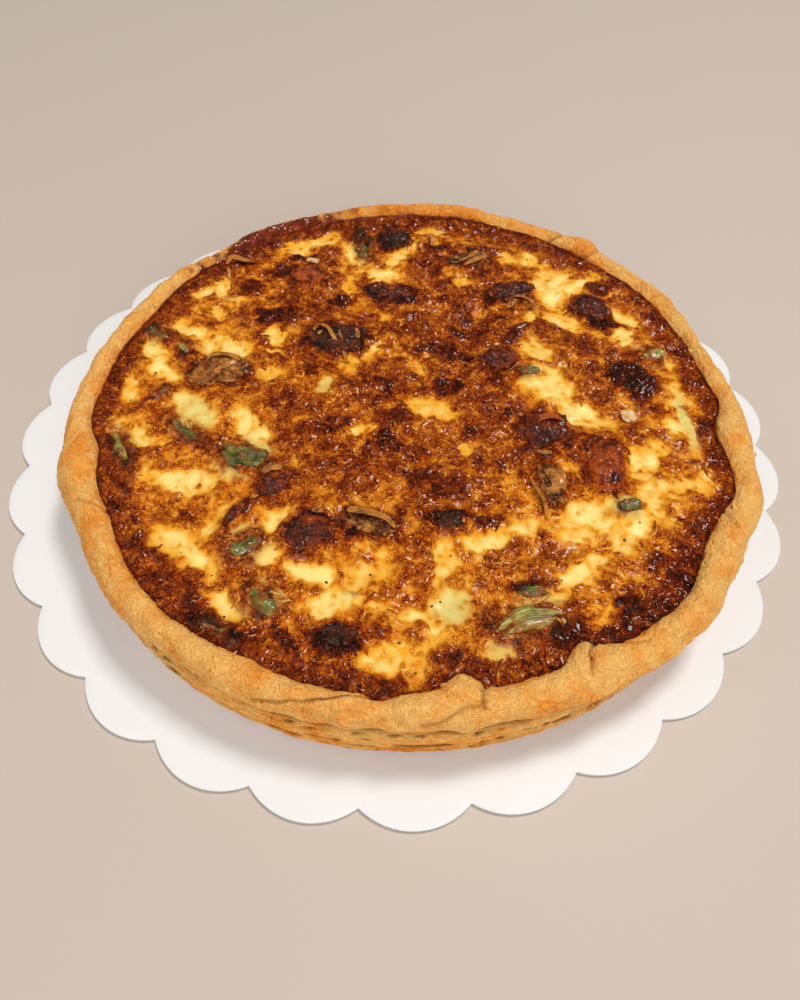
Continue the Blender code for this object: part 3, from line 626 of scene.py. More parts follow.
class Finish(NodeMaker):
    """One material under construction."""

    def __init__(self, name):
        self.material = bpy.data.materials.new(name)
        self.material.use_nodes = True
        super().__init__(self.material.node_tree)
        self.shader = self.tree.nodes["Principled BSDF"]
        self.place = self.node("ShaderNodeTexCoord", {}, {}).outputs["Object"]

    def attribute(self, name):
        """A number stored on the mesh."""
        node = self.node("ShaderNodeAttribute", {"attribute_name": name}, {})
        return Value(self, node.outputs["Fac"])

    def stretched(self, stretch):
        """Object coordinates stretched along the axes."""
        inputs = {"Vector": self.place, "Scale": stretch}
        return self.node("ShaderNodeMapping", {"vector_type": "POINT"}, inputs).outputs[0]

    def grain(self, size_mm, detail=2.0, distortion=0.0, place=None):
        """Noise whose lumps are about this many millimetres across."""
        inputs = {
            "Vector": place or self.place,
            "Scale": 1.0 / (size_mm * MM),
            "Detail": detail,
            "Roughness": 0.5,
            "Distortion": distortion,
        }
        return Value(self, self.node("ShaderNodeTexNoise", {}, inputs).outputs[0])

    def ramp(self, value, stops):
        """Colours that follow a value."""
        return self.node("ShaderNodeValToRGB", {"stops": stops}, {0: value}).outputs[0]

    def mix(self, share, first, second):
        """Mix of two colours."""
        settings = {"data_type": "RGBA", "blend_type": "MIX", "clamp_factor": True}
        return self.node("ShaderNodeMix", settings, {0: share, 6: first, 7: second}).outputs[2]

    def bump(self, height, distance_mm, strength=1.0):
        """Normal disturbed by a height."""
        inputs = {"Height": height, "Distance": distance_mm * MM, "Strength": strength}
        return self.node("ShaderNodeBump", {}, inputs).outputs[0]

    def set(self, **values):
        """Give the shader its constants, by socket name with underscores for spaces."""
        for name, value in values.items():
            self.shader.inputs[name.replace("_", " ")].default_value = value

    def link(self, **sources):
        """Link what varies to the shader."""
        for name, value in sources.items():
            self.tree.links.new(getattr(value, "socket", value), self.shader.inputs[name.replace("_", " ")])


def smooth(value):
    """Ease a share from 0 to 1."""
    value = np.clip(value, 0.0, 1.0)
    return value * value * (3.0 - 2.0 * value)


def between(value, low, high):
    """0 below low, 1 above high and smooth between them."""
    return smooth((value - low) / (high - low))


def swing(azimuth, centre, half_width):
    """1 at the centre azimuth, falling smoothly to 0 on both sides of it."""
    away = (azimuth - centre + 180.0) % 360.0 - 180.0
    return np.exp(-((away / half_width) ** 2))


def noise_over(x, y, z):
    """Smooth noise, from about -1 to 1, at each of these points."""
    x, y, z = np.broadcast_arrays(x, y, z)
    points = zip(x.ravel().tolist(), y.ravel().tolist(), z.ravel().tolist())
    return np.array([noise.noise(point) for point in points]).reshape(x.shape)


def field(x, y, size, seed):
    """Smooth noise over the plan, in lumps about this size."""
    return noise_over(x / size, y / size, seed)


def ridges_over(x, y, z):
    """Sharp winding ridges, from about -1 to 1, at each of these points."""
    return 1.0 - 4.0 * np.abs(noise_over(x, y, z))


def round_noise(azimuth, bend, seed):
    """A value from -1 to 1 that wanders round the rim with bends of about this length."""
    turn = np.radians(azimuth)
    spread = RIM_RADIUS / bend
    return noise_over(np.cos(turn) * spread, np.sin(turn) * spread, seed)


def folded(azimuth, column):
    """What every fold does at this azimuth, from one column of the folds."""
    return sum(fold[column] * swing(azimuth, fold[0], fold[1]) for fold in FOLDS)


class RimLines:
    """The crust's lines round the quiche, worked out once and read between steps."""

    def __init__(self):
        turn = np.linspace(0.0, 360.0, RIM_STEPS, endpoint=False)
        tilt = CREST_RISE_TO_BACK * np.sin(np.radians(turn))
        self.turn = turn
        self.foot = BASE_RADIUS - FRONT_FLAT * swing(turn, 270.0, 24.0) + 0.5 * round_noise(turn, 40.0, 1.5)
        self.rim = RIM_RADIUS + folded(turn, 2) + 0.6 * round_noise(turn, 22.0, 4.5)
        self.filling = FILLING_RADIUS + folded(turn, 3) + 0.8 * round_noise(turn, 14.0, 8.5)
        self.crest = CREST_HEIGHT + tilt + folded(turn, 4) + 0.6 * round_noise(turn, 18.0, 12.5)
        self.edge = EDGE_HEIGHT + tilt + 0.5 * round_noise(turn, 16.0, 16.5)

    def read(self, line, azimuth):
        """Value of one line at these azimuths."""
        return np.interp(azimuth, self.turn, getattr(self, line), period=360.0)


RIM = RimLines()


def at_azimuth(azimuth, radius, height):
    """Points at these azimuths and radii about the quiche's middle, in the frame, in millimetres."""
    turn = np.radians(azimuth)
    x = QUICHE_X + radius * np.cos(turn)
    y = QUICHE_Y + radius * np.sin(turn)
    x, y, z = np.broadcast_arrays(x, y, LIFT + height)
    return np.stack((x, y, z), axis=-1)


def filling_level(x, y):
    """Height of the filling's top above the crust's underside, before its fine relief."""
    azimuth = np.degrees(np.arctan2(y, x))
    reach = RIM.read("filling", azimuth)
    swell = SWELL_HEIGHT * field(x, y, SWELL_SIZE, 2.5)
    lump = LUMP_HEIGHT * field(x, y, LUMP_SIZE, 6.5)
    level = FILLING_HEIGHT + FILLING_RISE_TO_BACK * y / reach + swell + lump
    near_edge = smooth((np.hypot(x, y) / reach - (1.0 - EDGE_BAND)) / EDGE_BAND)
    return level + (RIM.read("edge", azimuth) - level) * near_edge


def make_object(name, points, faces, material, attributes):
    """Turn points in millimetres and faces into an object at the origin, with its faces outward."""
    mesh = bpy.data.meshes.new(name)
    mesh.from_pydata((np.asarray(points, float) * MM).tolist(), [], faces)
    for key, values in attributes.items():
        layer = mesh.attributes.new(key, "FLOAT", "POINT")
        layer.data.foreach_set("value", np.asarray(values, np.float32).ravel())
    bm = bmesh.new()
    bm.from_mesh(mesh)
    bmesh.ops.recalc_face_normals(bm, faces=bm.faces)
    if bm.calc_volume(signed=True) < 0.0:
        bmesh.ops.reverse_faces(bm, faces=bm.faces)
    bm.to_mesh(mesh)
    bm.free()
    mesh.shade_smooth()
    mesh.materials.append(material)
    obj = bpy.data.objects.new(name, mesh)
    bpy.context.scene.collection.objects.link(obj)
    return obj


def settle(obj, slot, *nodes):
    """Attach a finished piece to the body that it rides on and hide the solids that it stands for; the slot
    is not used.
    """
    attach(obj, "root")
    if nodes:
        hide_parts(*nodes)
    return obj


def ring_faces(rings, count):
    """Four-sided faces between rings of equally many points that follow each other."""
    faces = []
    for ring in range(rings - 1):
        low = ring * count
        high = low + count
        for i in range(count):
            j = (i + 1) % count
            faces.append((low + i, low + j, high + j, high + i))
    return faces


def closed_faces(rings, count):
    """Faces between rings, with a cap on the first ring and on the last."""
    last = (rings - 1) * count
    return ring_faces(rings, count) + [tuple(range(count))[::-1], tuple(range(last, last + count))]


def stitch_faces(outer_start, outer_count, inner_start, inner_count):
    """Triangles between two rings that start at the same azimuth, whatever their numbers of points."""
    faces = []
    i = 0
    j = 0
    while i < outer_count or j < inner_count:
        here = outer_start + i % outer_count
        across = inner_start + j % inner_count
        if j == inner_count or (i < outer_count and (i + 1) * inner_count <= (j + 1) * outer_count):
            i += 1
            faces.append((here, outer_start + i % outer_count, across))
        else:
            j += 1
            faces.append((here, inner_start + j % inner_count, across))
    return faces


def spline(rows, steps, closed=False):
    """Points of a smooth curve through the rows, which may each be an array, with this many steps a row."""
    made = []
    last = len(rows) - 1
    for i in range(len(rows) if closed else last):
        if closed:
            p0, p1, p2, p3 = (rows[(i + k) % len(rows)] for k in (-1, 0, 1, 2))
        else:
            p0, p1, p2, p3 = (rows[min(max(i + k, 0), last)] for k in (-1, 0, 1, 2))
        for step in range(steps):
            t = step / steps
            made.append(
                0.5
                * (
                    2.0 * p1
                    + (p2 - p0) * t
                    + (2.0 * p0 - 5.0 * p1 + 4.0 * p2 - p3) * t**2
                    + (3.0 * p1 - p0 - 3.0 * p2 + p3) * t**3
                )
            )
    if not closed:
        made.append(rows[last])
    return made


def shades(*stops):
    """Stops of a colour ramp, from places and names of colours."""
    return [(place, colours(name)) for place, name in stops]


def custard_stops():
    """Colour of the custard from raw to burnt."""
    names = ("cream", "yellow", "amber", "orange", "russet", "umber", "char")
    places = (0.05, 0.21, 0.34, 0.48, 0.62, 0.78, 0.95)
    return shades(*zip(places, names))


def custard_finish():
    """Baked custard and cheese, from cream pools to burnt crust."""
    made = Finish("browned_custard")
    toast = made.attribute("toast")
    green = made.attribute("green")
    curds = made.grain(3.1, 2.0, 0.9)
    threads = made.grain(2.5, 1.0, 2.8).ridge()
    specks = made.grain(0.9, 2.5)
    browned = toast.steps(0.18, 0.52)
    rugged = browned * 0.8 + 0.2
    shade = toast + curds.sway(0.52) * (browned * 0.78 + 0.22)
    shade = shade + specks.sway(0.13) * (browned * 0.75 + 0.25)
    shade = shade - threads.sway(0.44, 0.6) * browned
    base = made.ramp(shade, custard_stops())
    tinted = made.mix(green * 0.7 * (1.0 - browned * 0.95), base, colours("green_cream"))
    height = curds * 0.7 * rugged + threads * 0.55 * browned + specks * 0.25 * rugged
    normal = made.bump(height, 1.1)
    rough = 0.30 + curds.sway(0.25) + shade.steps(0.5, 1.0) * 0.10
    made.link(Base_Color=tinted, Roughness=rough, Normal=normal, Coat_Weight=browned * 0.18 + 0.07)
    made.set(Coat_Roughness=0.05, Specular_IOR_Level=0.03)
    made.set(Subsurface_Weight=0.10, Subsurface_Scale=0.0022, Subsurface_Radius=(1.0, 0.55, 0.25))
    return made.material


def pastry_finish():
    """Flaky baked pastry with browner blotches, and painted shade in the gaps between its layers, in the
    crease and along the fold lines.
    """
    made = Finish("golden_pastry")
    bake = made.attribute("bake")
    gap = made.attribute("gap")
    spill = made.attribute("spill")
    wall = made.attribute("wall")
    blotch = made.grain(9.0, 3.0, 0.4)
    skin = made.grain(4.2, 2.0, 2.6).ridge()
    fibre = made.grain(2.4, 1.0, 3.0).ridge()
    specks = made.grain(0.8, 2.0)
    layered = made.stretched((0.10, 0.10, 1.15))
    sheets = made.grain(1.0, 3.0, 0.5, layered)
    shade = bake - 0.12 + blotch.sway(0.95) + specks.sway(0.20)
    # Painted light and shade: paler along the wrinkles' ridges and darker between them, following the same
    # noise as the bump
    shade = shade - skin.sway(0.20, 0.6) - fibre.sway(0.11, 0.6)
    shade = shade + sheets.sway(1.1) * wall
    stops = ((0.16, "pastry_pale"), (0.46, "pastry_gold"), (0.74, "pastry_brown"), (1.0, "pastry_dark"))
    base = made.ramp(shade, shades(*stops))
    # Painted shade: the gaps between the layers, the crease and the fold lines are darkened towards the
    # darkest pastry colour
    base = made.mix(gap, base, colours("pastry_dark"))
    toast = made.grain(3.0, 3.0, 0.8) * 0.55 + specks * 0.25 + 0.24
    base = made.mix(spill, base, made.ramp(toast, custard_stops()))
    height = skin * 0.9 + fibre * 0.5 + specks * 0.15 + sheets * 1.0 * wall
    normal = made.bump(height, 1.2, 0.75)
    made.link(Base_Color=base, Roughness=0.62 - spill * 0.25 + blotch.sway(0.12), Normal=normal)
    made.link(Coat_Weight=spill * 0.3)
    made.set(Specular_IOR_Level=0.15, Coat_Roughness=0.07)
    made.set(Subsurface_Weight=0.06, Subsurface_Scale=0.0015, Subsurface_Radius=(1.0, 0.6, 0.3))
    return made.material


def card_finish():
    """Smooth coated white board."""
    made = Finish("white_card")
    edge = made.attribute("edge")
    fibre = made.grain(0.9, 3.0, 0.0, made.stretched((1.0, 1.0, 3.0)))
    cloud = made.grain(40.0, 2.0)
    base = made.mix(edge + fibre.sway(0.10), colours("card_white"), colours("card_grey"))
    base = made.mix(cloud.sway(0.10) + 0.03, base, colours("card_grey"))
    made.link(Base_Color=base, Roughness=0.55 + fibre.sway(0.2), Normal=made.bump(fibre, 0.04, 0.6))
    made.set(Specular_IOR_Level=0.4)
    return made.material


def leek_finish(name, paleness):
    """Cooked leek, moist, striped along its length."""
    made = Finish(name)
    across = made.attribute("across")
    along = made.attribute("along")
    toast = made.attribute("toast")
    inputs = {0: across, 1: along * 0.16, 2: toast * 0.2}
    lengthwise = made.node("ShaderNodeCombineXYZ", {}, inputs).outputs[0]
    fibre = made.node("ShaderNodeTexNoise", {}, {"Vector": lengthwise, "Scale": 5.5, "Detail": 3.0})
    stripes = Value(made, fibre.outputs[0])
    blotch = made.grain(4.5, 2.0, 0.4)
    shade = stripes.sway(0.8) + blotch.sway(1.0) + paleness
    stops = ((0.10, "leek_dark"), (0.42, "leek_mid"), (0.78, "leek_light"), (1.0, "green_cream"))
    base = made.ramp(shade, shades(*stops))
    scorched = made.ramp(made.grain(2.0, 3.0, 0.6) * 0.7 + 0.25, custard_stops())
    base = made.mix(toast * (0.55 + blotch * 0.9), base, scorched)
    height = stripes * 0.4 + made.grain(1.2, 2.0) * 0.4
    made.link(Base_Color=base, Roughness=0.26 + blotch.sway(0.2), Normal=made.bump(height, 0.4, 0.8))
    made.set(Coat_Weight=0.22, Coat_Roughness=0.12, Specular_IOR_Level=0.3)
    made.set(Subsurface_Weight=0.12, Subsurface_Scale=0.0015)
    return made.material


def meat_finish(name, dark, light, balance, coat=0.5):
    """Cooked meat, onion or mushroom: dark and lighter places, crinkled and glossy."""
    made = Finish(name)
    toast = made.attribute("toast")
    burn = made.attribute("burn")
    blotch = made.grain(4.0, 3.0, 0.8)
    folds = made.grain(1.8, 2.0, 1.8).ridge()
    specks = made.grain(0.8, 2.0)
    shade = blotch.sway(1.8) + specks.sway(0.6) + folds * 0.15 + balance - burn * 0.35
    mixed = tuple(0.45 * a + 0.55 * b for a, b in zip(colours(dark), colours(light)))
    base = made.ramp(shade, [(0.20, colours(dark)), (0.52, mixed), (0.88, colours(light))])
    scorched = made.ramp(made.grain(2.0, 3.0, 0.6) * 0.9 + 0.05 + burn * 0.42, custard_stops())
    base = made.mix(toast * (0.55 + blotch), base, scorched)
    height = folds * 0.5 + specks * 0.3 + blotch * 0.5
    made.link(Base_Color=base, Roughness=0.30 + specks.sway(0.25), Normal=made.bump(height, 0.6, 0.85))
    made.set(Coat_Weight=coat * 0.5, Coat_Roughness=0.07, Specular_IOR_Level=0.08)
    return made.material


def floor_finish():
    """Plain pale floor."""
    made = Finish("studio_floor")
    cloud = made.grain(60.0, 2.0)
    made.link(Roughness=0.55 + cloud.sway(0.05))
    made.set(Base_Color=colours("floor"))
    return made.material


FINISHES = {
    "white_card": card_finish,
    "golden_pastry": pastry_finish,
    "browned_custard": custard_finish,
    "leek_green": lambda: leek_finish("leek_green", 0.30),
    "leek_pale": lambda: leek_finish("leek_pale", 0.62),
    "browned_ham": lambda: meat_finish("browned_ham", "ham_dark", "ham_red", 0.50),
    "pink_ham": lambda: meat_finish("pink_ham", "ham_red", "ham_pink", 0.75, 0.35),
    "tomato_slice": lambda: meat_finish("tomato_slice", "ham_red", "tomato", 0.72, 0.45),
    "browned_onion": lambda: meat_finish("browned_onion", "onion_dark", "onion_tan", 0.55, 0.35),
    "pale_bit": lambda: meat_finish("pale_bit", "onion_tan", "bit_cream", 0.80, 0.5),
    "mushroom": lambda: meat_finish("mushroom", "mushroom_dark", "mushroom_brown", 0.40, 0.45),
    "herb": lambda: meat_finish("herb", "leek_dark", "herb", 0.5, 0.2),
    "studio_floor": floor_finish,
}


def finish(name):
    """The named material, made the first time that it is asked for."""
    ready = [m for m in bpy.data.materials if m.get("quiche_finish") == name]
    if ready:
        return ready[0]
    material = FINISHES[name]()
    material["quiche_finish"] = name
    return material


def scallop_outline():
    """Points of the card's edge, a run of equal arcs."""
    tip = CARD_ACROSS / 2.0
    half_turn = math.pi / SCALLOPS
    cusp = (tip - SCALLOP_DEPTH) / math.cos(half_turn)
    half_chord = cusp * math.sin(half_turn)
    arc = (half_chord**2 + SCALLOP_DEPTH**2) / (2.0 * SCALLOP_DEPTH)
    centre = tip - arc
    arc_half = math.atan2(half_chord, tip - SCALLOP_DEPTH - centre)
    points = []
    for scallop in range(SCALLOPS):
        middle = math.radians(FIRST_CUSP_AZIMUTH) + (2 * scallop + 1) * half_turn
        for step in range(CARD_ARC_STEPS):
            swung = arc_half * (2.0 * step / CARD_ARC_STEPS - 1.0)
            along = centre + arc * math.cos(swung)
            aside = arc * math.sin(swung)
            x = along * math.cos(middle) - aside * math.sin(middle)
            y = along * math.sin(middle) + aside * math.cos(middle)
            points.append((x, y))
    return np.array(points)


def make_cake_card():
    """Card with its cut edge slightly rounded, and a top in rings so that it takes light evenly."""
    outline = scallop_outline()
    count = len(outline)
    r = CARD_EDGE_ROUND
    levels = (
        (120.0, 0.0, 0.0),
        (r, 0.0, 0.0),
        (r * 0.3, r * 0.3, 1.0),
        (0.0, r, 1.0),
        (0.0, CARD_THICK - r, 1.0),
        (r * 0.3, CARD_THICK - r * 0.3, 0.6),
        (r, CARD_THICK, 0.0),
        (3.0, CARD_THICK, 0.0),
        (120.0, CARD_THICK, 0.0),
    )
    reach = np.hypot(outline[:, 0], outline[:, 1])
    points = []
    edge = []
    for inward, height, cut in levels:
        ring = outline * ((reach - inward) / reach)[:, None]
        points.append(np.column_stack((ring, np.full(count, height))))
        edge.append(np.full(count, cut))
    attributes = {"edge": np.concatenate(edge)}
    faces = closed_faces(len(levels), count)
    return make_object("scalloped_card", np.concatenate(points), faces, finish("white_card"), attributes)


def crust_section(azimuth):
    """Rows of the crust's section from foot to inner edge, each with radius and height round the quiche."""
    foot = RIM.read("foot", azimuth)
    outer = RIM.read("rim", azimuth)
    inner = RIM.read("filling", azimuth)
    crest = RIM.read("crest", azimuth)
    waist = np.minimum(foot, outer)
    rows = []
    for height, stand_out in WALL_LAYERS:
        share = height / CREASE_HEIGHT
        radius = foot + (waist - foot) * share**2
        radius = radius + stand_out * (1.0 + 0.6 * round_noise(azimuth, 9.0, height))
        wander = LAYER_WANDER * round_noise(azimuth, 30.0, height + 3.0) if height > 0.0 else 0.0
        rows.append(np.stack((radius, height + wander + 0.0 * radius)))
    crease = CREASE_HEIGHT + LAYER_WANDER * round_noise(azimuth, 35.0, 21.0)
    rows.append(np.stack((waist - CREASE_DEPTH, crease)))
    for inward, climb in RIM_CURVE:
        radius = outer + (inner - outer) * inward
        height = RIM_WIDEST_HEIGHT + (crest - RIM_WIDEST_HEIGHT) * climb
        place = at_azimuth(azimuth, radius, height) / FLAKE_GRAIN
        grain = FLAKE_RELIEF * noise_over(place[:, 0], place[:, 1], place[:, 2])
        rows.append(np.stack((radius + grain * (1.0 - climb), height + grain * climb)))
    rows.append(np.stack((inner, RIM.read("edge", azimuth))))
    return rows


def surface_normals(grid):
    """Outward normals of a grid of points whose rows are rings."""
    around = np.roll(grid, -1, axis=1) - np.roll(grid, 1, axis=1)
    upward = np.gradient(grid, axis=0)
    normal = np.cross(around, upward)
    return normal / np.maximum(np.linalg.norm(normal, axis=2, keepdims=True), 1e-9)


def crust_relief(grid, wall, roll):
    """Fine relief of the crust: stacked sheets on the wall, puffs and curly wrinkles on the roll, and painted
    shade in the recesses between the sheets.
    """
    x, y, z = grid[..., 0], grid[..., 1], grid[..., 2]

    def lumps(size, seed):
        """Smooth noise over the crust, in lumps about this size."""
        return noise_over(x / size, y / size, z / size + seed)

    wander = 1.6 * noise_over(x / 17.0, y / 17.0, z / 9.0)
    sheet = ((z + wander) / SHEET_THICK) % 1.0
    lip = np.sqrt(sheet) * (1.0 - between(sheet, 0.80, 1.0))
    torn = between(noise_over(x / 7.0 + 40.0, y / 7.0, z / SHEET_THICK), -0.25, 0.35)
    layers = SHEET_HEIGHT * (lip - 0.5) * torn + 0.35 * noise_over(x / 3.5, y / 3.5, z / 0.9)
    warp_x, warp_y, warp_z = (
        axis + WRINKLE_WARP * lumps(WRINKLE_WARP_SIZE, seed)
        for axis, seed in ((x, 11.0), (y, 23.0), (z, 37.0))
    )
    puffs = PUFF_HEIGHT * lumps(PUFF_SIZE, 5.0)
    wrinkles = ridges_over(warp_x / WRINKLE_SIZE, warp_y / WRINKLE_SIZE, warp_z / WRINKLE_SIZE)
    crinkles = ridges_over(warp_x / CRINKLE_SIZE, warp_y / CRINKLE_SIZE, warp_z / CRINKLE_SIZE + 9.0)
    # Painted shade in the recesses between the wall's layers, where the sheets sink deepest
    gap = between(-layers, 0.12, 0.60) * wall
    roll_relief = puffs + WRINKLE_HEIGHT * wrinkles + CRINKLE_HEIGHT * crinkles
    return layers * wall + roll_relief * roll, gap


def crust_stations():
    """How each station of the crust's section is made up: share of wall, and share of roll."""
    wall_count = len(WALL_LAYERS) * WALL_STATIONS
    roll_count = (len(RIM_CURVE) + 1) * ROLL_STATIONS
    wall = np.concatenate((np.ones(wall_count), np.zeros(roll_count + 1)))
    wall[wall_count - 2 : wall_count] = 0.4
    roll = np.concatenate((np.zeros(wall_count), np.ones(roll_count + 1)))
    roll[wall_count : wall_count + 3] = (0.0, 0.4, 0.8)
    roll[-3:] = (0.8, 0.5, 0.2)
    return wall, roll


def fold_lines(azimuth, share):
    """How deep the fold lines cut at each point of the crust."""
    depth = np.zeros(np.broadcast(azimuth, share).shape)
    wobble = 1.2 * round_noise(azimuth, 5.0, 61.0)
    for start, start_share, end, end_share, cut in FOLD_LINES:
        along = np.radians((azimuth - start + 180.0) % 360.0 - 180.0) * RIM_RADIUS
        up = (share - start_share) * SECTION_LENGTH + wobble
        run = math.radians(end - start) * RIM_RADIUS
        rise = (end_share - start_share) * SECTION_LENGTH
        place = np.clip((along * run + up * rise) / (run**2 + rise**2), 0.0, 1.0)
        away = np.hypot(along - run * place, up - rise * place)
        depth = np.maximum(depth, cut * np.exp(-((away / FOLD_LINE_WIDTH) ** 2)))
    return depth


def crust_bake(azimuth, share, grid):
    """How browned the pastry is at each point: the outer face, the foot and the inner edge more; it is also
    darker towards the back and paler towards the front right.
    """
    x, y, z = grid[..., 0], grid[..., 1], grid[..., 2]
    bake = 0.40 + 0.16 * (1.0 - between(share, 0.0, 0.45))
    bake = bake - 0.10 * swing(azimuth, 345.0, 55.0)
    bake = bake + 0.20 * swing(azimuth, 88.0, 38.0)
    bake = bake + 0.16 * noise_over(x / 24.0, y / 24.0, z / 14.0)
    return bake + 0.16 * between(share, 0.86, 1.0)


def crust_spill(azimuth, share, grid):
    """Where custard and cheese ran over the rim: two stretches at the back, and the inner edge."""
    spill = between(share, 0.60, 0.86) * (swing(azimuth, 122.0, 22.0) + 0.25 * swing(azimuth, 75.0, 20.0))
    spill = spill + 0.9 * between(share, 0.93, 1.0)
    x, y, z = grid[..., 0], grid[..., 1], grid[..., 2]
    return between(spill + 0.35 * noise_over(x / 4.0, y / 4.0, z / 4.0), 0.35, 0.75)


def make_pastry_crust():
    """The crust from the same section as its solid, finer and with its flakes, layers and wrinkles."""
    azimuth = np.linspace(0.0, 360.0, CRUST_STEPS, endpoint=False)
    rows = crust_section(azimuth)
    bend = len(WALL_LAYERS)
    stations = spline(rows[: bend + 1], WALL_STATIONS)[:-1] + spline(rows[bend:], ROLL_STATIONS)
    grid = np.stack([at_azimuth(azimuth, row[0], row[1]) for row in stations])
    wall, roll = crust_stations()
    wall, roll = wall[:, None], roll[:, None]
    relief, gap = crust_relief(grid, wall, roll)
    folds = fold_lines(azimuth[None, :], np.linspace(0.0, 1.0, len(stations))[:, None])
    relief = relief - folds
    # Painted shade along the grooves of the fold lines
    gap = np.maximum(gap, 0.45 * np.clip(folds, 0.0, 1.2))
    grounded = between(grid[..., 2] - LIFT, 0.0, 1.0)
    grid = grid + surface_normals(grid) * (relief * grounded)[..., None]
    grid[..., 2] = np.maximum(grid[..., 2], LIFT)
    station = np.arange(len(stations), dtype=float)[:, None] + 0.0 * azimuth
    share = station / station.max()
    # Painted shade along the crease under the roll
    crease = np.exp(-(((station - bend * WALL_STATIONS) / 2.4) ** 2))
    shares = {
        "bake": crust_bake(azimuth, share, grid),
        "gap": np.clip(gap + crease * 0.9, 0.0, 1.0),
        "spill": crust_spill(azimuth, share, grid),
        "wall": wall + 0.0 * azimuth,
    }
    count = len(azimuth)
    attributes = {key: np.concatenate((values.ravel(), np.zeros(count))) for key, values in shares.items()}
    inner_low = at_azimuth(azimuth, RIM.read("filling", azimuth), FLOOR_THICK)
    points = np.concatenate((grid.reshape(-1, 3), inner_low))
    faces = closed_faces(len(stations) + 1, count)
    return make_object("flaky_crust", points, faces, finish("golden_pastry"), attributes)


def ellipse_away(x, y, centre_x, centre_y, half_length, half_width, azimuth):
    """How far each point lies from an ellipse's middle, 1 on its outline."""
    turn = math.radians(azimuth)
    along = ((x - centre_x) * math.cos(turn) + (y - centre_y) * math.sin(turn)) / half_length
    across = ((y - centre_y) * math.cos(turn) - (x - centre_x) * math.sin(turn)) / half_width
    return np.hypot(along, across)


def patches(x, y, table, ragged):
    """Strongest of the table's patches at each point, with ragged outlines, and the wider halo of each."""
    away_x = x + ragged * field(x, y, 8.0, 31.0) + 0.6 * ragged * field(x, y, 2.8, 33.0)
    away_y = y + ragged * field(x, y, 8.0, 41.0) + 0.6 * ragged * field(x, y, 2.8, 43.0)
    best = np.zeros_like(x)
    halo = np.zeros_like(x)
    for *ellipse, strength in table:
        away = ellipse_away(away_x, away_y, *ellipse)
        best = np.maximum(best, strength * (1.0 - between(away, 0.58, 1.18)))
        halo = np.maximum(halo, strength * (1.0 - between(away, 0.90, 2.40)))
    return best, halo


def topping_nearness(x, y):
    """How near each point is to a topping's outline, and how far under one it is."""
    hug = np.zeros_like(x)
    under = np.zeros_like(x)
    for _, _, middle_x, middle_y, long, wide, _, azimuth, _ in TOPPINGS:
        away = ellipse_away(x, y, middle_x, middle_y, long / 2.0, wide / 2.0, azimuth)
        reach = min(long, wide) / 2.0
        hug = np.maximum(hug, np.exp(-(((away - 1.05) * reach / 1.9) ** 2)))
        under = np.maximum(under, 1.0 - between(away, 0.5, 0.95))
    return hug, under


def custard_toast(x, y, share):
    """How browned the custard is at each point, from 0, raw, to 1, burnt."""
    wide = field(x, y, 16.0, 51.0)
    middle = field(x, y, 5.5, 53.0)
    fine = field(x, y, 2.1, 57.0)
    centre = 1.0 - between(np.hypot(x - 5.0, y - 20.0), 50.0, 95.0)
    toast = PLAIN_TOAST + 0.115 * centre + 0.20 * wide + 0.24 * middle + 0.15 * fine
    pale, glow = patches(x, y, POOLS, POOL_RAGGED)
    dark, _ = patches(x, y, SCORCHES, SCORCH_RAGGED)
    toast = toast + (GLOW_TOAST + 0.16 * middle + 0.12 * fine - toast) * glow * 0.72
    pool = POOL_TOAST + 0.14 * middle + 0.42 * np.maximum(fine + 0.6 * middle - 0.15, 0.0)
    toast = toast + (pool - toast) * pale
    toast = toast + (SCORCH_TOAST + 0.12 * fine - toast) * dark * 0.9 * (1.0 - 0.6 * pale)
    azimuth = np.degrees(np.arctan2(y, x))
    ring_width = EDGE_WIDTH + 7.0 * swing(azimuth, 100.0, 28.0) + 6.0 * swing(azimuth, 228.0, 14.0)
    inward = (1.0 - share) * FILLING_RADIUS + 4.0 * wide + 2.5 * middle
    ring = 1.0 - between(inward / ring_width, 0.55, 1.25)
    burnt = EDGE_TOAST + 0.12 * swing(azimuth, 312.0, 16.0)
    toast = toast + (burnt + 0.18 * middle + 0.14 * fine - toast) * ring * (1.0 - 0.75 * pale)
    return np.clip(toast, 0.0, 1.0), pale


def custard_relief(x, y, toast, pale, share):
    """Fine relief of the custard: smooth low pools, crumbly browned cheese and a blistered edge."""
    browned = between(toast, 0.20, 0.55)
    warp_x = x + 1.8 * field(x, y, 4.0, 61.0)
    warp_y = y + 1.8 * field(x, y, 4.0, 63.0)
    curds = field(warp_x, warp_y, CURD_SIZE, 65.0) + 0.45 * field(warp_x, warp_y, 9.0, 73.0)
    crumbs = np.abs(field(warp_x, warp_y, CRUMB_SIZE, 67.0))
    threads = ridges_over(warp_x / THREAD_SIZE, warp_y / THREAD_SIZE, 69.0)
    relief = CURD_HEIGHT * curds * (0.35 + 0.65 * browned)
    relief = relief + (CRUMB_HEIGHT * (crumbs - 0.25) + THREAD_HEIGHT * threads) * browned
    relief = relief - POOL_SINK * pale + SCORCH_SWELL * between(toast, 0.7, 0.95)
    ring = between(share, 0.90, 0.97)
    return relief + ring * (0.8 * np.abs(field(x, y, 3.0, 71.0)) - 0.25)


def filling_rings():
    """Share of the way out and number of points of every ring of the fine filling, outermost first."""
    total = round(FILLING_RADIUS / FILLING_SPACING)
    rings = []
    for ring in range(total, 0, -1):
        share = ring / total
        count = max(6, round(2.0 * math.pi * share * FILLING_RADIUS / FILLING_SPACING))
        rings.append((share, count))
    return rings


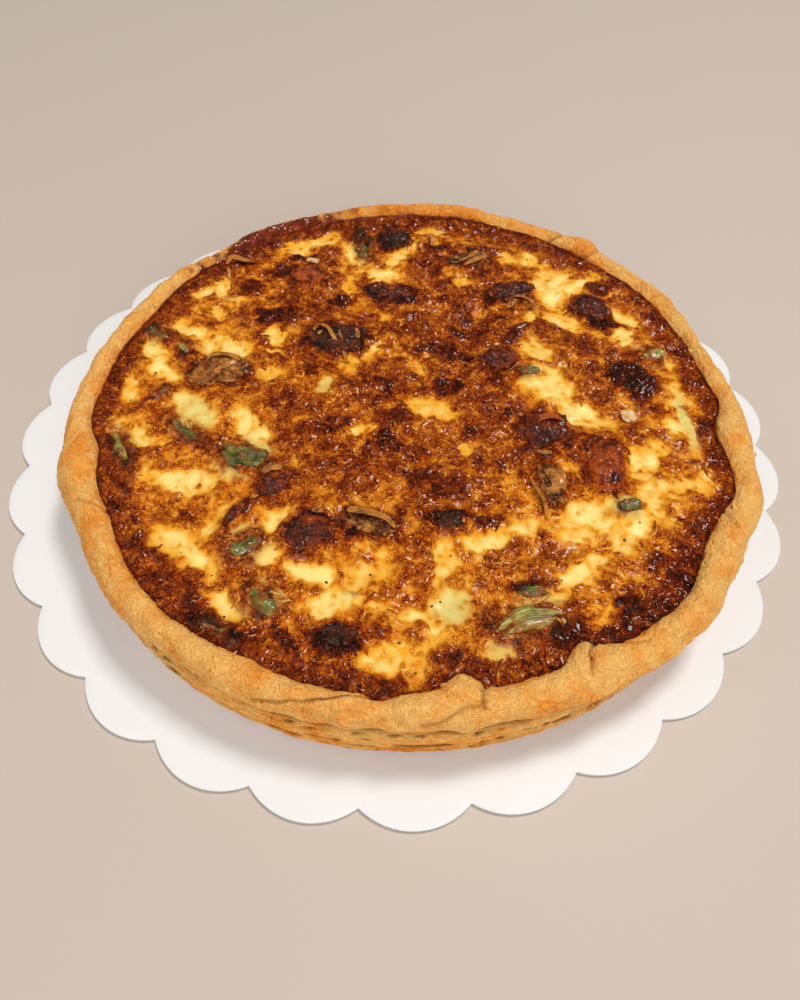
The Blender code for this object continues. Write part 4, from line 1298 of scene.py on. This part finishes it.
def make_custard():
    """The filling on the same level as its solid, with its browning and its fine relief."""
    rings = filling_rings()
    share = np.concatenate([np.full(count, part) for part, count in rings])
    azimuth = np.concatenate([np.arange(count) * 360.0 / count for _, count in rings])
    reach = RIM.read("filling", azimuth)
    radius = reach * share + TOUCH_GAP * between(share, 0.97, 1.0)
    x = radius * np.cos(np.radians(azimuth))
    y = radius * np.sin(np.radians(azimuth))
    toast, pale = custard_toast(x, y, share)
    hug, under = topping_nearness(x, y)
    relief = custard_relief(x, y, toast, pale, share)
    height = filling_level(x, y) + relief
    toast = toast + 0.11 * np.tanh(1.5 * relief) * between(toast, 0.15, 0.40)
    height = height + RISE_ROUND_TOPPING * hug - SINK_UNDER_TOPPING * under
    height = height - 0.5 * between(share, 0.985, 1.0)
    toast = np.clip(toast + (0.22 + 0.25 * field(x, y, 3.0, 77.0)) * hug, 0.0, 1.0)
    leeks = [row for row in TOPPINGS if row[0].startswith("leek")]
    round_leeks = [(row[2], row[3], row[4] * 0.7, row[5] * 1.1, row[7], 0.9) for row in leeks]
    green, _ = patches(x, y, GREEN_TINTS + tuple(round_leeks), 2.0)
    top = at_azimuth(azimuth, radius, height)
    first = rings[0][1]
    bottom = at_azimuth(azimuth[:first], reach[:first] - TOUCH_GAP, FLOOR_THICK + TOUCH_GAP)
    points = np.concatenate((top, bottom))
    faces = []
    start = 0
    for (_, outer), (_, inner) in zip(rings, rings[1:]):
        faces.extend(stitch_faces(start, outer, start + outer, inner))
        start += outer
    faces.append(tuple(range(start, start + rings[-1][1])))
    low = len(top)
    faces.extend((i, (i + 1) % first, low + (i + 1) % first, low + i) for i in range(first))
    faces.append(tuple(range(low, low + first)))
    attributes = {
        "toast": np.concatenate((toast, np.full(first, 0.6))),
        "green": np.concatenate((green, np.zeros(first))),
    }
    return make_object("baked_custard", points, faces, finish("browned_custard"), attributes)


def round_turns(count):
    """Angles of evenly spaced points round a ring."""
    return np.linspace(0.0, 2.0 * math.pi, count, endpoint=False)[None, :]


def rounded_ends(along, power):
    """1 along a piece, falling to 0 at its two ends, later and more steeply with a higher power."""
    return np.sqrt(np.clip(1.0 - (2.0 * along - 1.0) ** power, 0.0, 1.0))


def chunk_surface(long, wide, high, seed, crumple):
    """Rings of an uneven lump, crumpled by this much of its size, with its two ends."""
    lean = np.linspace(-math.pi / 2.0, math.pi / 2.0, CHUNK_UP + 1)[:, None]
    turn = round_turns(CHUNK_AROUND)
    girth = np.cos(lean)
    direction = np.stack((np.cos(turn) * girth, np.sin(turn) * girth, np.sin(lean) + 0.0 * turn))
    dx, dy, dz = direction
    blocky = 1.0 / np.sum(np.abs(direction) ** 3, axis=0) ** (1.0 / 3.0)
    uneven = 1.0 + 0.30 * noise_over(dx * 1.6 + seed, dy * 1.6, dz * 1.6)
    folds = np.abs(noise_over(dx * 3.4 + seed, dy * 3.4 + 7.0, dz * 3.4))
    creases = np.abs(noise_over(dx * 7.5, dy * 7.5 + seed, dz * 7.5))
    crumpled = 1.0 - crumple * 0.35 + crumple * 1.9 * folds + crumple * 0.9 * creases
    size = blocky * uneven * 0.88 * crumpled / 2.0
    return np.stack((dx * long * size, dy * wide * size, dz * high * size), axis=-1)


def leaf_surface(long, wide, high, seed, _):
    """Rings round a thin wavy leaf, from one end to the other."""
    along = np.linspace(0.0, 1.0, LEAF_ALONG)[:, None]
    turn = round_turns(LEAF_AROUND)
    swell = 0.42 + 0.58 * np.sin(math.pi * np.clip(along, 0.04, 0.96))
    ends = rounded_ends(along, 12)
    side = np.sign(np.cos(turn)) * np.abs(np.cos(turn)) ** 0.6 * ends
    level = np.sign(np.sin(turn)) * np.abs(np.sin(turn)) ** 0.5 * ends
    wave = 0.5 * np.sin(2.0 * math.pi * along + seed)
    curl = 0.80 * noise_over(along * 3.0 + seed, side * 1.4, 0.0 * turn)
    ragged = 1.0 + 0.45 * noise_over(along * 4.5 + seed, 0.8 * np.sign(side), 0.0 * turn)
    ribs = 0.10 * np.sin(side * 15.0 + seed) * np.abs(level)
    bend = 0.08 * long * np.sin(math.pi * along)
    x = long * (along - 0.5) + 0.0 * turn
    y = side * wide / 2.0 * swell * ragged + bend
    z = wave - 0.5 * np.abs(side) + level * high / 2.0 + curl + ribs
    return np.stack((x, y, z), axis=-1)


def band_surface(long, wide, high, seed, _):
    """Rings along a cut leek's curved layers, a bent bar with a furrow along its top."""
    outline = np.array(spline(np.array(BAND_SECTION), 7, closed=True))
    along = np.linspace(0.0, 1.0, BAND_ALONG)[:, None]
    swell = 0.62 + 0.38 * np.sin(math.pi * np.clip(along, 0.05, 0.95))
    ends = rounded_ends(along, 16)
    bend = 0.16 * long * (np.sin(math.pi * along) - 0.6)
    lift = 0.3 * np.sin(3.0 * math.pi * along + seed)
    side = outline[None, :, 0] * ends
    level = outline[None, :, 1] * ends
    ribs = 0.12 * np.sin(side * 13.0 + 2.0 * noise_over(along * 4.0, side, seed)) * (level > 0.0)
    x = long * (along - 0.5) + 0.0 * side
    y = side * wide / 2.0 * swell + bend
    z = level * high + lift + ribs
    return np.stack((x, y, z), axis=-1)


def slice_surface(long, wide, high, seed, _):
    """Rings of a round slice with a domed, slightly pitted top, from its foot to its peak."""
    profile = np.array(spline(np.array(SLICE_PROFILE), 8))
    turn = round_turns(SLICE_AROUND)
    share = profile[:, 0][:, None]
    uneven = share * (1.0 + 0.10 * noise_over(np.cos(turn), np.sin(turn), seed))
    x = long / 2.0 * uneven * np.cos(turn)
    y = wide / 2.0 * uneven * np.sin(turn)
    pits = 0.30 * field(x, y, 2.6, seed) + 0.15 * field(x, y, 1.2, seed)
    z = profile[:, 1][:, None] * high + pits * (profile[:, 1][:, None] > 0.0)
    return np.stack((x, y, z), axis=-1)


# Surface of each form, which all take the same values though only the lump is crumpled, and the share of
# its height by which each form's middle stands above the custard
SURFACES = {"chunk": chunk_surface, "leaf": leaf_surface, "band": band_surface, "slice": slice_surface}
RISES = {"chunk": 0.10, "leaf": 0.10, "band": 0.12, "slice": 0.12}


def topping_shares(local, above, row, seed, look):
    """How browned and how burnt a topping is at each point, and the two directions of its stripes."""
    _, form, _, _, long, wide, high, _, slot = row
    x, y, z = local[..., 0], local[..., 1], local[..., 2]
    low = 1.0 - between(above + 0.9 * field(x, y, 2.0, seed), 0.2, high * 0.36)
    spread = 0.30 if form == "slice" else 0.0
    melted = between(field(x, y, 3.2, seed + 5.0) + spread, -0.15, 0.30)
    uneven = 0.60 + 0.75 * field(x, y, 4.5, seed + 9.0)
    burn = np.clip(between(z, 0.06 * high, 0.30 * high) * uneven, 0.0, 1.0)
    return {
        "toast": low if look else np.maximum(low, melted * COVER.get(slot, 0.6)),
        "burn": burn * 0.0 if look else burn,
        "along": x / (long / 2.0),
        "across": y / (wide / 2.0),
    }


def weld(obj):
    """Join the points that lie on each other."""
    bm = bmesh.new()
    bm.from_mesh(obj.data)
    bmesh.ops.remove_doubles(bm, verts=bm.verts, dist=WELD_DISTANCE * MM)
    bm.to_mesh(obj.data)
    bm.free()


def make_topping(row, seed, look=None):
    """One topping in its place, standing for its solid; one with a look of its own has no solid."""
    name, form, x, y, long, wide, high, azimuth, slot = row
    grid = SURFACES[form](long, wide, high, seed, CRUMPLE.get(look or slot, 0.1))
    level = float(filling_level(np.array([x]), np.array([y]))[0])
    turn = math.radians(azimuth)
    local = grid.copy()
    local[..., 2] = np.where(local[..., 2] > 0.0, local[..., 2] * SETTLED.get(slot, 0.9), local[..., 2])
    grid[..., 0] = QUICHE_X + x + local[..., 0] * math.cos(turn) - local[..., 1] * math.sin(turn)
    grid[..., 1] = QUICHE_Y + y + local[..., 0] * math.sin(turn) + local[..., 1] * math.cos(turn)
    grid[..., 2] = LIFT + level + RISES[form] * high + local[..., 2]
    ground = filling_level(grid[..., 0] - QUICHE_X, grid[..., 1] - QUICHE_Y)
    rough_x, rough_y = grid[..., 0] / 2.6, grid[..., 1] / 2.6
    crusty = np.abs(noise_over(rough_x, rough_y, seed)) + 0.5 * noise_over(rough_x * 2.1, rough_y * 2.1, seed)
    bite = CRUMPLE.get(look or slot, 0.05) * 4.2 * between(local[..., 2], 0.0, 0.2 * high)
    grid[..., 2] += (crusty - 0.3) * bite
    attributes = topping_shares(local, grid[..., 2] - LIFT - ground, row, seed, look)
    faces = closed_faces(*grid.shape[:2])
    piece = make_object(name + "_cooked", grid.reshape(-1, 3), faces, finish(look or slot), attributes)
    weld(piece)
    return settle(piece, slot) if look else settle(piece, slot, name)


def make_toppings(word):
    """Every topping whose name starts with this word."""
    for index, row in enumerate(TOPPINGS):
        if row[0].startswith(word):
            make_topping(row, 3.7 * index + 1.3)


class ScatterTree(NodeMaker):
    """A Geometry Nodes tree with named inputs, which scatters bits over a piece."""

    def __init__(self, name, *measures):
        tree = bpy.data.node_groups.new(name, "GeometryNodeTree")
        super().__init__(tree)
        kinds = [("Geometry", "Geometry"), *((title, "Float") for title in measures)]
        for title, kind in (*kinds, ("Seed", "Int"), ("Finish", "Material")):
            tree.interface.new_socket(name=title, in_out="INPUT", socket_type="NodeSocket" + kind)
        tree.interface.new_socket(name="Geometry", in_out="OUTPUT", socket_type="NodeSocketGeometry")
        self.inputs = tree.nodes.new("NodeGroupInput").outputs

    def given(self, title):
        """One of the tree's named inputs."""
        return Value(self, self.inputs[title])

    def stored(self, name):
        """A number stored on the mesh."""
        node = self.node("GeometryNodeInputNamedAttribute", {"data_type": "FLOAT"}, {"Name": name})
        return Value(self, node.outputs["Attribute"])

    def random(self, low, high, seed):
        """A number drawn for each point."""
        inputs = {2: low, 3: high, "Seed": seed}
        return Value(self, self.node("FunctionNodeRandomValue", {"data_type": "FLOAT"}, inputs).outputs[1])

    def joined(self, x, y, z):
        """A vector of three numbers."""
        return self.node("ShaderNodeCombineXYZ", {}, {0: x, 1: y, 2: z}).outputs[0]

    def drift(self, place, scale, detail):
        """Noise node read at a place, with this many lumps to the metre."""
        return self.node("ShaderNodeTexNoise", {}, {"Vector": place, "Scale": scale, "Detail": detail})

    def shifted(self, place, step):
        """A place moved by a step."""
        return self.node("ShaderNodeVectorMath", {"operation": "ADD"}, {0: place, 1: step}).outputs[0]

    def instanced(self, points, shape, turn, size):
        """A copy of a shape on every point."""
        inputs = {"Points": points, "Instance": shape, "Rotation": turn, "Scale": size}
        return self.node("GeometryNodeInstanceOnPoints", {}, inputs).outputs[0]

    def upward(self):
        """1 where the surface faces up."""
        normal = self.node("GeometryNodeInputNormal", {}, {}).outputs[0]
        return Value(self, self.node("ShaderNodeSeparateXYZ", {}, {0: normal}).outputs[2])

    def scattered(self, density, seed):
        """Points over the piece's upper side, with the surface's own turn."""
        thinned = density * self.upward().steps(0.35, 0.4)
        inputs = {"Mesh": self.inputs["Geometry"], "Density": thinned, "Seed": seed}
        return self.node("GeometryNodeDistributePointsOnFaces", {"distribute_method": "RANDOM"}, inputs)

    def finished(self, geometry):
        """End the tree: real geometry with its finish."""
        shaded = self.node("GeometryNodeSetShadeSmooth", {}, {"Geometry": geometry}).outputs[0]
        real = self.node("GeometryNodeRealizeInstances", {}, {"Geometry": shaded}).outputs[0]
        inputs = {"Geometry": real, "Material": self.given("Finish")}
        done = self.node("GeometryNodeSetMaterial", {}, inputs).outputs[0]
        self.node("NodeGroupOutput", {}, {"Geometry": done})
        return self.tree


def shred_tree():
    """Shreds of browned cheese that wander over the custard."""
    made = ScatterTree("cheese_shreds", "Density", "Length", "Width", "Curl")
    browned = made.stored("toast").steps(0.34, 0.50)
    points = made.scattered(made.given("Density") * browned, made.given("Seed"))
    shade = made.stored("toast") + made.random(-0.12, 0.10, 5)
    settings = {"data_type": "FLOAT", "domain": "POINT"}
    inputs = {"Geometry": points.outputs[0], "Name": "toast", "Value": shade}
    toned = made.node("GeometryNodeStoreNamedAttribute", settings, inputs)
    half = made.given("Length") * 0.5
    inputs = {"Start": made.joined(half * -1.0, 0.0, 0.0), "End": made.joined(half, 0.0, 0.0)}
    line = made.node("GeometryNodeCurvePrimitiveLine", {}, inputs)
    finer = made.node("GeometryNodeResampleCurve", {}, {"Curve": line.outputs[0], "Count": SHRED_POINTS})
    turn = made.joined(0.0, 0.0, made.random(-math.pi, math.pi, 7))
    size = made.random(0.35, 1.0, 9)
    copies = made.instanced(toned.outputs[0], finer.outputs[0], turn, made.joined(size, size, size))
    real = made.node("GeometryNodeRealizeInstances", {}, {0: copies})
    place = made.node("GeometryNodeInputPosition", {}, {}).outputs[0]
    parts = made.node("ShaderNodeSeparateXYZ", {}, {0: made.drift(place, 210.0, 1.0).outputs["Color"]})
    curl = made.given("Curl")
    aside = [(Value(made, parts.outputs[k]) - 0.5) * curl * 2.0 for k in (0, 1)]
    inputs = {"Geometry": real.outputs[0], "Offset": made.joined(*aside, 0.0)}
    bent = made.node("GeometryNodeSetPosition", {}, inputs)
    inputs = {
        "Target Geometry": made.inputs["Geometry"],
        "Source Position": made.shifted(place, (0.0, 0.0, RAY_START)),
        "Ray Direction": (0.0, 0.0, -1.0),
        "Ray Length": RAY_LENGTH,
    }
    ray = made.node("GeometryNodeRaycast", {"data_type": "FLOAT"}, inputs)
    wave = Value(made, made.drift(place, 260.0, 0.0).outputs[0])
    raised = made.joined(0.0, 0.0, made.given("Width") * (wave * 1.5 - 0.88))
    lifted = made.shifted(ray.outputs["Hit Position"], raised)
    inputs = {"Geometry": bent.outputs[0], "Selection": ray.outputs["Is Hit"], "Position": lifted}
    laid = made.node("GeometryNodeSetPosition", {}, inputs)
    share = Value(made, made.node("GeometryNodeSplineParameter", {}, {}).outputs["Factor"])
    taper = (share * (1.0 - share) * 4.0) ** 0.45
    thick = made.given("Width") * 0.5 * taper
    circle = made.node("GeometryNodeCurvePrimitiveCircle", {}, {"Resolution": SHRED_SIDES, "Radius": 1.0})
    inputs = {"Curve": laid.outputs[0], "Profile Curve": circle.outputs[0], "Scale": thick, "Fill Caps": True}
    return made.finished(made.node("GeometryNodeCurveToMesh", {}, inputs).outputs[0])


def dome_tree(name, attribute, low, high, flatness, tilt):
    """Small uneven domes, flecks or flakes where a stored value lies high enough."""
    made = ScatterTree(name, "Density", "Size")
    chosen = made.stored(attribute).steps(low, high)
    points = made.scattered(made.given("Density") * chosen, made.given("Seed"))
    inputs = {"Segments": DOME_SEGMENTS, "Rings": DOME_RINGS, "Radius": made.given("Size")}
    ball = made.node("GeometryNodeMeshUVSphere", {}, inputs).outputs[0]
    tilts = [made.random(-tilt, tilt, seed) for seed in (3, 5)]
    turn = made.joined(*tilts, made.random(-math.pi, math.pi, 7))
    inputs = {0: points.outputs["Rotation"], 1: turn}
    rotation = made.node("FunctionNodeRotateRotation", {}, inputs).outputs[0]
    size = made.random(0.35, 1.25, 9)
    shape = made.joined(size * made.random(0.7, 1.5, 11), size, size * flatness)
    return made.finished(made.instanced(points.outputs[0], ball, rotation, shape))


def scatter(name, carrier, tree, values, material, slot):
    """Run a tree over a piece and keep the result as a plain mesh of its own."""
    host = bpy.data.objects.new(name + "_host", carrier.data)
    bpy.context.scene.collection.objects.link(host)
    modifier = host.modifiers.new("scatter", "NODES")
    modifier.node_group = tree
    for socket in tree.interface.items_tree:
        if socket.in_out == "INPUT" and socket.name in values:
            modifier[socket.identifier] = values[socket.name]
        if socket.in_out == "INPUT" and socket.name == "Finish":
            modifier[socket.identifier] = material
    graph = bpy.context.evaluated_depsgraph_get()
    baked = host.evaluated_get(graph)
    mesh = bpy.data.meshes.new_from_object(baked, preserve_all_data_layers=True, depsgraph=graph)
    bpy.data.objects.remove(host, do_unlink=True)
    if not mesh.polygons:
        raise RuntimeError(name + " came out empty")
    mesh.name = name
    piece = bpy.data.objects.new(name, mesh)
    bpy.context.scene.collection.objects.link(piece)
    return settle(piece, slot)


def strand_mesh(points, wide, thick, seed):
    """Rings of a flat tapered strand along a smooth curve."""
    line = np.array(spline(np.array(points, float), STRAND_STEPS))
    height = LIFT + filling_level(line[:, 0], line[:, 1]) + STRAND_ARCH * line[:, 2]
    line = np.column_stack((QUICHE_X + line[:, 0], QUICHE_Y + line[:, 1], height))
    ahead = np.gradient(line, axis=0)
    ahead /= np.maximum(np.linalg.norm(ahead, axis=1, keepdims=True), 1e-9)
    side = np.cross(ahead, (0.0, 0.0, 1.0))
    side /= np.maximum(np.linalg.norm(side, axis=1, keepdims=True), 1e-9)
    over = np.cross(side, ahead)
    share = np.linspace(0.0, 1.0, len(line))
    taper = np.clip(4.0 * share * (1.0 - share), 0.03, 1.0) ** 0.4
    frill = 1.0 + 0.35 * noise_over(share * 5.0, seed, 0.0)
    turn = round_turns(STRAND_AROUND)[0]
    rings = []
    for i, place in enumerate(line):
        twist = 0.4 * math.sin(3.0 * share[i] + seed)
        wide_here = STRAND_SPREAD * wide / 2.0 * taper[i] * frill[i]
        thick_here = STRAND_FLATNESS * thick / 2.0 * taper[i]
        across = np.cos(turn) * wide_here
        up = np.sin(turn) * thick_here + 0.30 * thick * (np.cos(turn) ** 2 - 0.5)
        side_here = side[i] * math.cos(twist) + over[i] * math.sin(twist)
        over_here = over[i] * math.cos(twist) - side[i] * math.sin(twist)
        rings.append(place + across[:, None] * side_here + up[:, None] * over_here)
    return np.stack(rings)


def make_strands(slot):
    """All the strands of one finish, joined."""
    points = []
    faces = []
    toast = []
    start = 0
    for index, (finish_name, wide, thick, route) in enumerate(STRANDS):
        if finish_name != slot:
            continue
        grid = strand_mesh(route, wide, thick, 1.7 * index)
        rings, count = grid.shape[:2]
        faces.extend(tuple(start + corner for corner in face) for face in closed_faces(rings, count))
        points.append(grid.reshape(-1, 3))
        toast.append(np.full(rings * count, 0.10 * (index % 3)))
        start += rings * count
    name = slot + "_strands"
    piece = make_object(name, np.concatenate(points), faces, finish(slot), {"toast": np.concatenate(toast)})
    return settle(piece, slot)


def add_light(name, azimuth, elevation, distance, width, power, tint):
    """A soft square light that looks at the quiche."""
    data = bpy.data.lights.new(name, "AREA")
    data.shape = "SQUARE"
    data.size = width
    data.energy = power
    data.color = tint
    light = bpy.data.objects.new(name, data)
    bpy.context.scene.collection.objects.link(light)
    turn, rise = math.radians(azimuth), math.radians(elevation)
    light.location = (
        distance * math.cos(turn) * math.cos(rise),
        distance * math.sin(turn) * math.cos(rise),
        distance * math.sin(rise),
    )
    light.rotation_euler = (-light.location).to_track_quat("-Z", "Y").to_euler()


def add_camera():
    """Camera at the photograph's place."""
    data = bpy.data.cameras.new("photo_camera")
    data.lens = CAMERA_LENS
    data.sensor_width = SENSOR_WIDTH
    data.sensor_fit = "AUTO"
    data.clip_start = 0.01
    data.clip_end = 20.0
    camera = bpy.data.objects.new("photo_camera", data)
    bpy.context.scene.collection.objects.link(camera)
    rise, roll = math.radians(CAMERA_ELEVATION), math.radians(CAMERA_ROLL)
    back = Vector((0.0, -math.cos(rise), math.sin(rise)))
    right = Vector((1.0, 0.0, 0.0))
    up = back.cross(right)
    turned_right = right * math.cos(roll) + up * math.sin(roll)
    turned_up = up * math.cos(roll) - right * math.sin(roll)
    place = (Vector(CAMERA_TARGET) + back * CAMERA_DISTANCE) * MM
    turn = Matrix((turned_right, turned_up, back)).transposed().to_4x4()
    camera.matrix_world = Matrix.Translation(place) @ turn
    bpy.context.scene.camera = camera


class PieceOperator:
    """What every operator here shares."""

    bl_options = {"REGISTER", "UNDO"}


class QUICHE_OT_cake_card(PieceOperator, bpy.types.Operator):
    """Make the scalloped cake card"""

    bl_idname = "quiche.cake_card"
    bl_label = "Cake card"

    def execute(self, context):
        settle(make_cake_card(), "white_card", "cake_card")
        return {"FINISHED"}


class QUICHE_OT_pastry_crust(PieceOperator, bpy.types.Operator):
    """Make the flaky pastry crust"""

    bl_idname = "quiche.pastry_crust"
    bl_label = "Pastry crust"

    def execute(self, context):
        crust = settle(make_pastry_crust(), "golden_pastry", "pastry_crust")
        context.scene["quiche_crust"] = crust.name
        return {"FINISHED"}


class QUICHE_OT_custard(PieceOperator, bpy.types.Operator):
    """Make the browned custard filling"""

    bl_idname = "quiche.custard"
    bl_label = "Custard"

    def execute(self, context):
        custard = settle(make_custard(), "browned_custard", "custard_filling")
        context.scene["quiche_custard"] = custard.name
        return {"FINISHED"}


class QUICHE_OT_leeks(PieceOperator, bpy.types.Operator):
    """Make the pieces of leek"""

    bl_idname = "quiche.leeks"
    bl_label = "Leeks"

    def execute(self, context):
        make_toppings("leek")
        return {"FINISHED"}


class QUICHE_OT_meats(PieceOperator, bpy.types.Operator):
    """Make the pieces of ham and the round slice"""

    bl_idname = "quiche.meats"
    bl_label = "Ham and round slice"

    def execute(self, context):
        make_toppings("ham")
        make_toppings("round")
        make_strands("pink_ham")
        make_strands("browned_ham")
        return {"FINISHED"}


class QUICHE_OT_vegetables(PieceOperator, bpy.types.Operator):
    """Make the onions and mushrooms"""

    bl_idname = "quiche.vegetables"
    bl_label = "Onions and mushrooms"

    def execute(self, context):
        make_toppings("onion")
        make_toppings("mushroom")
        make_strands("browned_onion")
        for index, row in enumerate(PALE_BITS):
            make_topping(row, 5.3 * index + 2.1, "pale_bit")
        return {"FINISHED"}


class QUICHE_OT_scatter(PieceOperator, bpy.types.Operator):
    """Scatter shreds, blisters, flecks and flakes"""

    bl_idname = "quiche.scatter"
    bl_label = "Shreds, blisters and flecks"

    def execute(self, context):
        now = sizes()
        carriers = {word: bpy.data.objects[context.scene["quiche_" + word]] for word in ("custard", "crust")}
        values = {
            "Density": now.shred_count * PER_SQUARE_DECIMETRE,
            "Length": now.shred_length,
            "Width": now.shred_width,
            "Curl": now.shred_curl,
            "Seed": 3,
        }
        custard = carriers["custard"]
        scatter("cheese_shreds", custard, shred_tree(), values, finish("browned_custard"), "browned_custard")
        for name, carrier, attribute, low, high, flatness, tilt, word, seed, look, slot in BITS:
            count = getattr(now, word + "_count")
            size = getattr(now, word + "_size")
            values = {"Density": count * PER_SQUARE_DECIMETRE, "Size": size, "Seed": seed}
            tree = dome_tree(name, attribute, low, high, flatness, tilt)
            scatter(name, carriers[carrier], tree, values, finish(look), slot)
        return {"FINISHED"}


class QUICHE_OT_stage(PieceOperator, bpy.types.Operator):
    """Make the floor, the lights and the camera"""

    bl_idname = "quiche.stage"
    bl_label = "Stage"

    def execute(self, context):
        scene = context.scene
        add_camera()
        mesh = bpy.data.meshes.new("floor")
        corners = [(FLOOR_HALF * x, FLOOR_HALF * y, 0.0) for x, y in ((-1, -1), (1, -1), (1, 1), (-1, 1))]
        mesh.from_pydata(corners, [], [(0, 1, 2, 3)])
        mesh.materials.append(finish("studio_floor"))
        floor = bpy.data.objects.new("floor", mesh)
        scene.collection.objects.link(floor)
        for name, azimuth, elevation, distance, width, power, tint in LIGHTS:
            add_light(name, azimuth, elevation, distance, width or sizes().light_width, power, tint)
        world = bpy.data.worlds.new("studio")
        world.use_nodes = True
        sky = world.node_tree.nodes["Background"]
        sky.inputs["Color"].default_value = SKY_TINT
        sky.inputs["Strength"].default_value = SKY_STRENGTH
        scene.world = world
        scene.view_settings.view_transform = "Standard"
        scene.view_settings.look = "None"
        return {"FINISHED"}


class QUICHE_PT_build(bpy.types.Panel):
    """Buttons for every piece, with the sizes and colours"""

    bl_label = "Baked quiche"
    bl_idname = "QUICHE_PT_build"
    bl_space_type = "VIEW_3D"
    bl_region_type = "UI"
    bl_category = "Quiche"

    def draw(self, context):
        layout = self.layout
        for operator in OPERATORS:
            layout.operator(operator.bl_idname)
        for group in (context.scene.quiche_sizes, context.scene.quiche_colours):
            box = layout.box()
            for name in group.__annotations__:
                box.prop(group, name)


OPERATORS = (
    QUICHE_OT_stage,
    QUICHE_OT_cake_card,
    QUICHE_OT_pastry_crust,
    QUICHE_OT_custard,
    QUICHE_OT_leeks,
    QUICHE_OT_meats,
    QUICHE_OT_vegetables,
    QUICHE_OT_scatter,
)
CLASSES = (QuicheSizes, QuicheColours, *OPERATORS, QUICHE_PT_build)


def register():
    """Make the classes known to Blender."""
    for cls in CLASSES:
        bpy.utils.register_class(cls)
    bpy.types.Scene.quiche_sizes = bpy.props.PointerProperty(type=QuicheSizes)
    bpy.types.Scene.quiche_colours = bpy.props.PointerProperty(type=QuicheColours)


def unregister():
    """Take the classes out again."""
    del bpy.types.Scene.quiche_colours
    del bpy.types.Scene.quiche_sizes
    for cls in reversed(CLASSES):
        bpy.utils.unregister_class(cls)


def main():
    """Build everything in order."""
    register()
    for operator in OPERATORS:
        group, name = operator.bl_idname.split(".")
        getattr(getattr(bpy.ops, group), name)()


if __name__ == "__main__":
    main()
